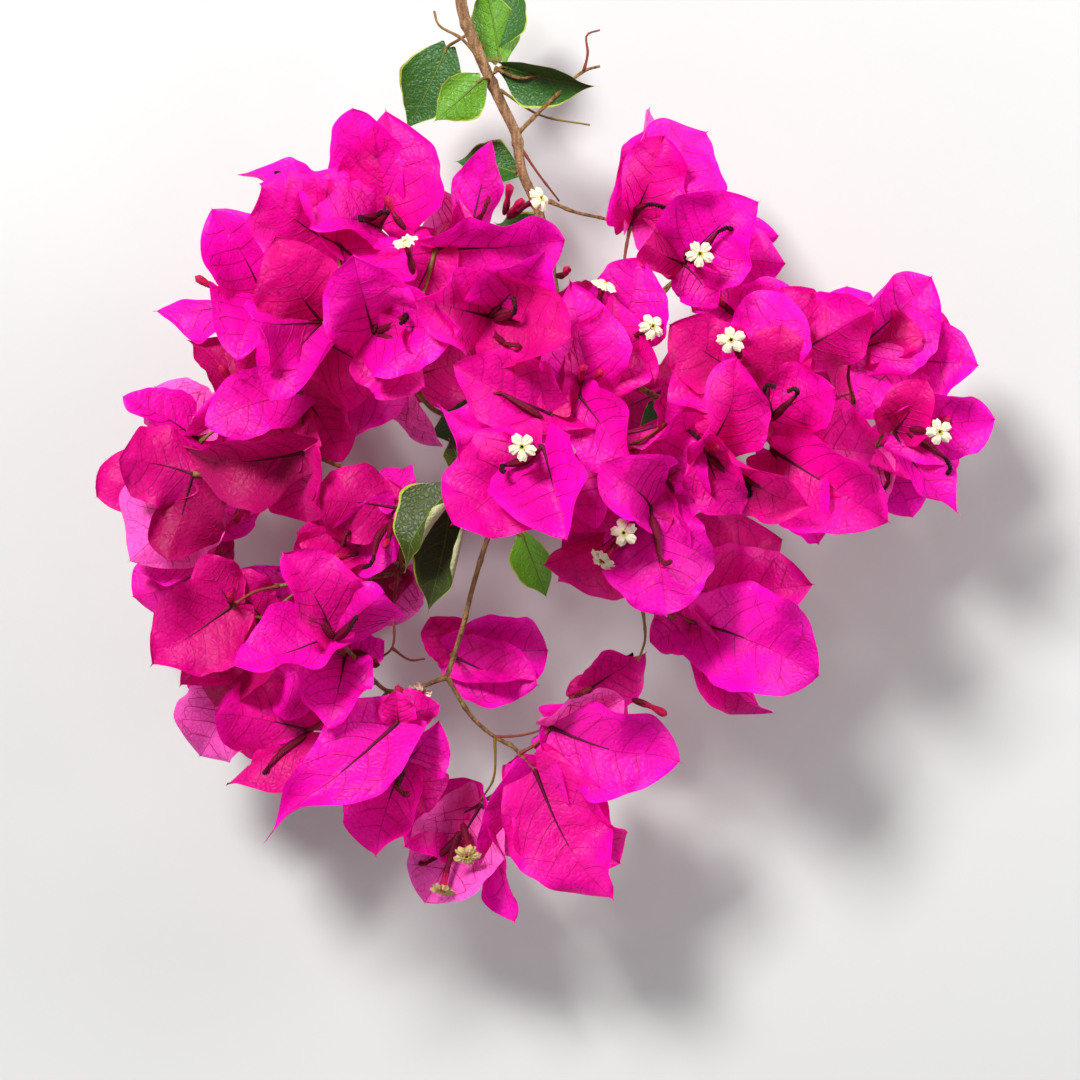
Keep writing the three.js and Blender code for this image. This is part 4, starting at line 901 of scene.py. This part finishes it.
def flower(gather, kind, base, tip, rng, star_radius):
    """One flower: a ribbed tube with a star, a closed tip or a shrivelled end."""
    reach = tip - base
    length = np.linalg.norm(reach)
    bend = unit(np.cross(reach, rng.normal(size=3))) * length * rng.uniform(0.02, 0.10)
    path = smooth_path([base, base + 0.5 * reach + bend, tip], length / TUBE_STEPS)
    far = np.linspace(0, 1, len(path))
    maroon, crimson = gather.finishes.index("tube_maroon"), gather.finishes.index("tube_crimson")

    def ribbed(outline, finish, depth, scale=1.0):
        """The tube; a number as the finish is where its maroon foot ends and its crimson end starts."""
        if not isinstance(finish, str):
            middles = (0.5 * (far[1:] + far[:-1]))[:, None] + 0.06 * np.sin(5 * circle(TUBE_SIDES))
            finish = np.where(middles < finish, maroon, crimson)
        radii = scale * np.interp(far, *TUBE_OUTLINES[outline])
        gather.tube(path, radii, finish, TUBE_SIDES, ribs=5, depth=depth)

    if kind.startswith("star"):
        ribbed("star", 0.72, 0.16)
        lift = -0.05 if kind == "star_side" else 0.5
        petal = "star_old" if kind == "star_old" else "star_cream"
        star_flower(gather, path[-1], unit(path[-1] - path[-3]) + [0, 0, lift], star_radius, rng, petal)
    elif kind == "bud":
        ribbed("bud", rng.uniform(0.3, 0.8), 0.14)
    else:
        scale, finish = (1.25, "wilted_dark") if kind == "dead" else (1.0, "tube_maroon")
        ribbed("wilted", finish, 0.22, scale)
        end = curled_end(path, rng, rng.uniform(4.5, 7.0), rng.uniform(1.6, 3.2))
        step = np.arange(CURL_STEPS)
        beads = 1 + 0.35 * np.sin(step * 2.3 + rng.uniform(0, 6))
        bulk = scale * beads * np.interp(step, [0, 4, 20, 24, 25], [0.35, 0.5, 0.55, 0.5, 0.05])
        finish = "wilted_dark" if rng.random() < 0.7 else "wilted_red"
        gather.tube(end, bulk, finish, sides=9, ribs=3, depth=0.25)


class SPRAY_OT_flowers(bpy.types.Operator):
    """Make the small tube flowers: open stars, buds and wilted ones"""

    bl_idname = "spray.flowers"
    bl_label = "Make Flowers"

    def execute(self, context):
        sizes = context.scene.spray_sizes
        star_radius, usual = sizes.star / MM, sizes.flower_tube / MM
        gather = Gather("flowers", ["star_cream", "star_throat", "star_pit_shade", "star_old", "tube_maroon",
                                    "tube_crimson", "wilted_dark", "wilted_red"])
        bases = []
        for order, (kind, x, y, z, tip_x, tip_y) in enumerate(FLOWERS):
            rng = dice("flower", order)
            base = placed(x, y, z)
            flat = math.hypot(tip_x - x, tip_y - y)
            length = {"star_side": 1.15 * flat, "star": 0.85 * usual}.get(kind, 0.7 * usual)
            rise = math.sqrt(max(length**2 - flat**2, 4.0))
            flower(gather, kind, base, placed(tip_x, tip_y, z + rise), rng, star_radius)
            bases.append(base)
        bases = np.array(bases)
        for _, name, order, place, _, blade in all_blades():
            rng = dice("hidden_flower", order, place)
            far_side = -1 if name.startswith(TURNED) or blade.along[2] < -0.4 else 1
            foot = blade.at(0.10, 0.0, 0.4 * far_side)
            # On the side that shows, a flower grows only well apart from those of the table
            if far_side > 0 and (np.linalg.norm(bases - foot, axis=1).min() < FLOWERS_APART or rng.random() < 0.45):
                continue
            reach = unit(0.8 * blade.along + far_side * rng.uniform(0.7, 1.3) * blade.out + 0.25 * rng.normal(size=3))
            odds = (0.35, 0.4, 0.25) if far_side < 0 else (0.45, 0.55, 0.0)
            kind = ("bud", "wilted", "star_side")[rng.choice(3, p=odds)]
            flower(gather, kind, foot, foot + reach * rng.uniform(0.4, 0.65) * usual, rng, star_radius)
        gather.finish_piece("bract")
        return {"FINISHED"}


def limb_runs():
    """Each limb's name, its even places and its radius at each."""
    runs = []
    for name, start, end, *places in LIMBS:
        path = smooth_path([placed(*place) for place in places], 0.8)
        runs.append((name, path, np.linspace(start, end, len(path))))
    return runs


def limb_places():
    """Every place along the limbs."""
    return np.vstack([path for _, path, _ in limb_runs()])


def stalk_finish(rng):
    """One of the two looks of a thin green or reddish stalk."""
    return "stalk_red" if rng.random() < 0.5 else "stalk_olive"


def barked(gather, path, radii, finish, rng, sides, knots, depth):
    """A limb with a flared foot, swollen joints, long furrows and small bumps."""
    far = distances(path)
    swell = 1 + 0.5 * np.exp(-((far / 1.6) ** 2))
    for knot in np.arange(rng.uniform(0.3, 1.0) * knots, far[-1], knots):
        swell += 0.25 * np.exp(-((far - knot) / 1.0) ** 2)
    tangent = unit(np.gradient(path, axis=0))
    side = unit(np.cross(tangent, [0.1, 0.2, 0.97]))
    angle = circle(sides)
    furrow = np.zeros((len(path), sides))
    for count in (3, 5, 7, 11):
        drift = np.cumsum(rng.normal(scale=0.12, size=len(path)))
        furrow += np.cos(count * angle + (drift + rng.uniform(0, 6))[:, None]) / 3
    furrow += rng.normal(scale=0.3, size=furrow.shape)
    points = rings(path, side, np.cross(tangent, side), (radii * swell)[:, None] * (1 + depth * furrow), angle)
    cut, tip = (np.repeat(end.mean(axis=1, keepdims=True), sides, axis=1) for end in (points[:1], points[-1:]))
    gather.sheet(np.concatenate([cut, points, tip]), finish, closed=True)


class SPRAY_OT_limbs(bpy.types.Operator):
    """Make the cane and the stems with the relief of their bark"""

    bl_idname = "spray.limbs"
    bl_label = "Make Limbs"

    def execute(self, context):
        cane = Gather("cane_bark", ["bark_cane"])
        stems = Gather("stem_bark", ["bark_stem"])
        for order, (name, path, radii) in enumerate(limb_runs()):
            rng = dice("limb", order)
            if name == "cane":
                barked(cane, path, radii, "bark_cane", rng, sides=26, knots=17.0, depth=0.07)
            else:
                barked(stems, path, radii, "bark_stem", rng, sides=16, knots=15.0, depth=0.035)
        cane.finish_piece("bark", ["cane"])
        stems.finish_piece("bark", [name for name, *_ in LIMBS if name != "cane"])
        return {"FINISHED"}


class SPRAY_OT_twigs(bpy.types.Operator):
    """Make the side twigs and the stalk that carries each bloom"""

    bl_idname = "spray.twigs"
    bl_label = "Make Twigs and Stalks"

    def execute(self, context):
        gather = Gather("twigs", ["stalk_olive", "stalk_red", "bark_stem"])
        for order, (start, end, *places) in enumerate(TWIGS):
            rng = dice("twig", order)
            path = smooth_path([placed(*place) for place in places], 1.0)
            finish = "bark_stem" if start > THICK_TWIG else stalk_finish(rng)
            barked(gather, path, np.linspace(start, end, len(path)), finish, rng, sides=10, knots=9.0, depth=0.05)
        everywhere = limb_places()
        for order, (name, x, y, z, *_) in enumerate(BLOOMS):
            rng = dice("stalk", order)
            heart = placed(x, y, z)
            twin = next((row for row in BLOOMS[:order] if row[0] == name), None)
            seat = placed(*twin[1:4]) if twin else nearest(everywhere, heart)
            reach = heart - seat
            sway = np.cross(reach, rng.normal(size=3))
            middle = seat + 0.5 * reach + unit(sway) * 0.09 * np.linalg.norm(reach)
            path = smooth_path([seat, middle, heart], 1.0)
            radii = np.interp(np.linspace(0, 1, len(path)), [0, 0.15, 0.8, 1], [0.55, 0.4, 0.42, 0.7])
            barked(gather, path, radii, stalk_finish(rng), rng, sides=9, knots=8.0, depth=0.05)
        gather.finish_piece("bark")
        return {"FINISHED"}


def normals(points):
    """The direction out of a grid of places at each of them."""
    return unit(np.cross(np.gradient(points, axis=0), np.gradient(points, axis=1)))


class SPRAY_OT_leaves(bpy.types.Operator):
    """Make the leaves, with pale undersides, thin edges and veins"""

    bl_idname = "spray.leaves"
    bl_label = "Make Leaves"

    def execute(self, context):
        gather = Gather("leaves", ["leaf_dark", "leaf_bright", "leaf_olive", "leaf_under", "leaf_edge", "leaf_vein",
                                   "stalk_olive"])
        u = np.linspace(0, 1, 37)[:, None]
        v = np.linspace(-1, 1, 31)[None, :]
        run = np.linspace(0, MIDRIB_END, 24)
        thick = LEAF_THICKNESS * ((1 - np.abs(v) ** 6) * np.sin(math.pi * np.clip(u, 0.02, 0.98)) ** 0.3)[..., None]
        everywhere = limb_places()
        for order, (x, y, z, row, upper, *rolls) in enumerate(LEAVES):
            rng = dice("leaf", order)
            base = placed(x, y, z)
            blade = Blade(base, row, rng, LEAF_LOOK, rolls)
            mark = np.full((u.size - 1, v.size - 1), gather.finishes.index(upper))
            mark[:, [0, -1]] = gather.finishes.index("leaf_edge")
            points = blade.at(u, v)
            gather.sheet(points, mark)
            gather.sheet(points - thick * normals(points), "leaf_under", flipped=True)
            gather.tube(blade.at(run, np.zeros_like(run)), LEAF_MIDRIB * (1 - 0.8 * run), "leaf_vein", sides=6)
            for path_u, path_v, share in blade.veins(rng):
                gather.tube(blade.at(path_u, path_v), LEAF_VEIN * share, "leaf_vein", sides=4)
            seat = nearest(everywhere, base)
            stalk = smooth_path([seat, 0.5 * (seat + base) + 0.8 * blade.out, base, blade.at(0.06, 0.0)], 0.8)
            gather.tube(stalk, LEAF_STALK, "stalk_olive", sides=8)
        gather.finish_piece("leaf", ["leaf_top", "leaf_centre"])
        return {"FINISHED"}


# Area lights: name, place in metres, length of a side, power in watts
LIGHTS = (("key", (-0.50, 0.70, 1.05), 0.32, 31.0), ("glow", (0.85, 0.30, 0.30), 0.50, 11.0),
          ("fill", (-0.75, -0.60, 0.45), 0.60, 3.5))
LIT_HEIGHT = 0.05   # m: the height that the lights point at
SKY, SKY_STRENGTH = (0.93, 0.96, 1.0, 1), 0.25
FLOOR_GREY, FLOOR_ROUGH = (0.46, 0.46, 0.45, 1), (0.75, 0.9)
FLOOR_GRAIN = 60.0  # grains of the floor in a metre
FLOOR_HALF = 4      # m from the middle of the floor to its edges
SENSOR = 36.0       # mm: width of the camera's sensor


class SPRAY_OT_stage(bpy.types.Operator):
    """Make the pale floor, the soft lights and the camera that looks down"""

    bl_idname = "spray.stage"
    bl_label = "Make Stage"

    def execute(self, context):
        scene = context.scene
        material, tree, output = node_tree("pale_floor")
        noise = add(tree, "ShaderNodeTexNoise", {"Scale": FLOOR_GRAIN})
        rough = add(tree, "ShaderNodeMapRange",
                    {"Value": noise.outputs["Fac"], "To Min": FLOOR_ROUGH[0], "To Max": FLOOR_ROUGH[1]})
        shader = add(tree, "ShaderNodeBsdfPrincipled",
                     {"Base Color": FLOOR_GREY, "Roughness": rough.outputs["Result"]})
        tree.links.new(shader.outputs["BSDF"], output.inputs["Surface"])
        mesh = bpy.data.meshes.new("floor")
        corners = [(x * FLOOR_HALF, y * FLOOR_HALF, 0) for x, y in ((-1, -1), (1, -1), (1, 1), (-1, 1))]
        mesh.from_pydata(corners, [], [(0, 1, 2, 3)])
        mesh.materials.append(material)
        floor = in_scene("floor", mesh)

        for name, place, size, power in LIGHTS:
            light = bpy.data.lights.new(name, "AREA")
            light.size = size
            light.energy = power
            lamp = in_scene(name, light)
            lamp.location = place
            x, y, rise = place[0], place[1], place[2] - LIT_HEIGHT
            lamp.rotation_euler = (math.atan2(math.hypot(x, y), rise), 0, math.atan2(y, x) + math.pi / 2)

        world = bpy.data.worlds.new("soft light")
        world.use_nodes = True
        background = world.node_tree.nodes["Background"]
        background.inputs["Color"].default_value = SKY
        background.inputs["Strength"].default_value = SKY_STRENGTH
        scene.world = world
        scene.view_settings.view_transform = "Standard"

        camera = bpy.data.cameras.new("camera")
        camera.sensor_width = SENSOR
        camera.lens = SENSOR * EYE_HEIGHT / (VIEW_SIZE * PIXEL)
        scene.camera = in_scene("camera", camera)
        scene.camera.location = (-ORIGIN[0] * MM, -ORIGIN[1] * MM, (EYE_HEIGHT + MIDDLE_HEIGHT) * MM)
        return {"FINISHED"}


STEPS = (SPRAY_OT_stage, SPRAY_OT_finishes, SPRAY_OT_bracts, SPRAY_OT_veins, SPRAY_OT_flowers, SPRAY_OT_limbs,
         SPRAY_OT_twigs, SPRAY_OT_leaves)


class SPRAY_PT_panel(bpy.types.Panel):
    """Lists the steps that build the spray, with their sizes and colours"""

    bl_label = "Bougainvillea Spray"
    bl_idname = "SPRAY_PT_panel"
    bl_space_type = "VIEW_3D"
    bl_region_type = "UI"
    bl_category = "Spray"

    def draw(self, context):
        layout = self.layout
        for settings in (context.scene.spray_sizes, context.scene.spray_finish):
            for name in settings.__annotations__:
                layout.prop(settings, name)
        for step in STEPS:
            layout.operator(step.bl_idname)


CLASSES = (SprayFinish, SpraySizes, *STEPS, SPRAY_PT_panel)


def register():
    for item in CLASSES:
        bpy.utils.register_class(item)
    bpy.types.Scene.spray_finish = PointerProperty(type=SprayFinish)
    bpy.types.Scene.spray_sizes = PointerProperty(type=SpraySizes)


def unregister():
    del bpy.types.Scene.spray_sizes
    del bpy.types.Scene.spray_finish
    for item in reversed(CLASSES):
        bpy.utils.unregister_class(item)


def main():
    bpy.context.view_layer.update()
    register()
    for step in STEPS:
        group, name = step.bl_idname.split(".")
        getattr(getattr(bpy.ops, group), name)()


if __name__ == "__main__":
    main()
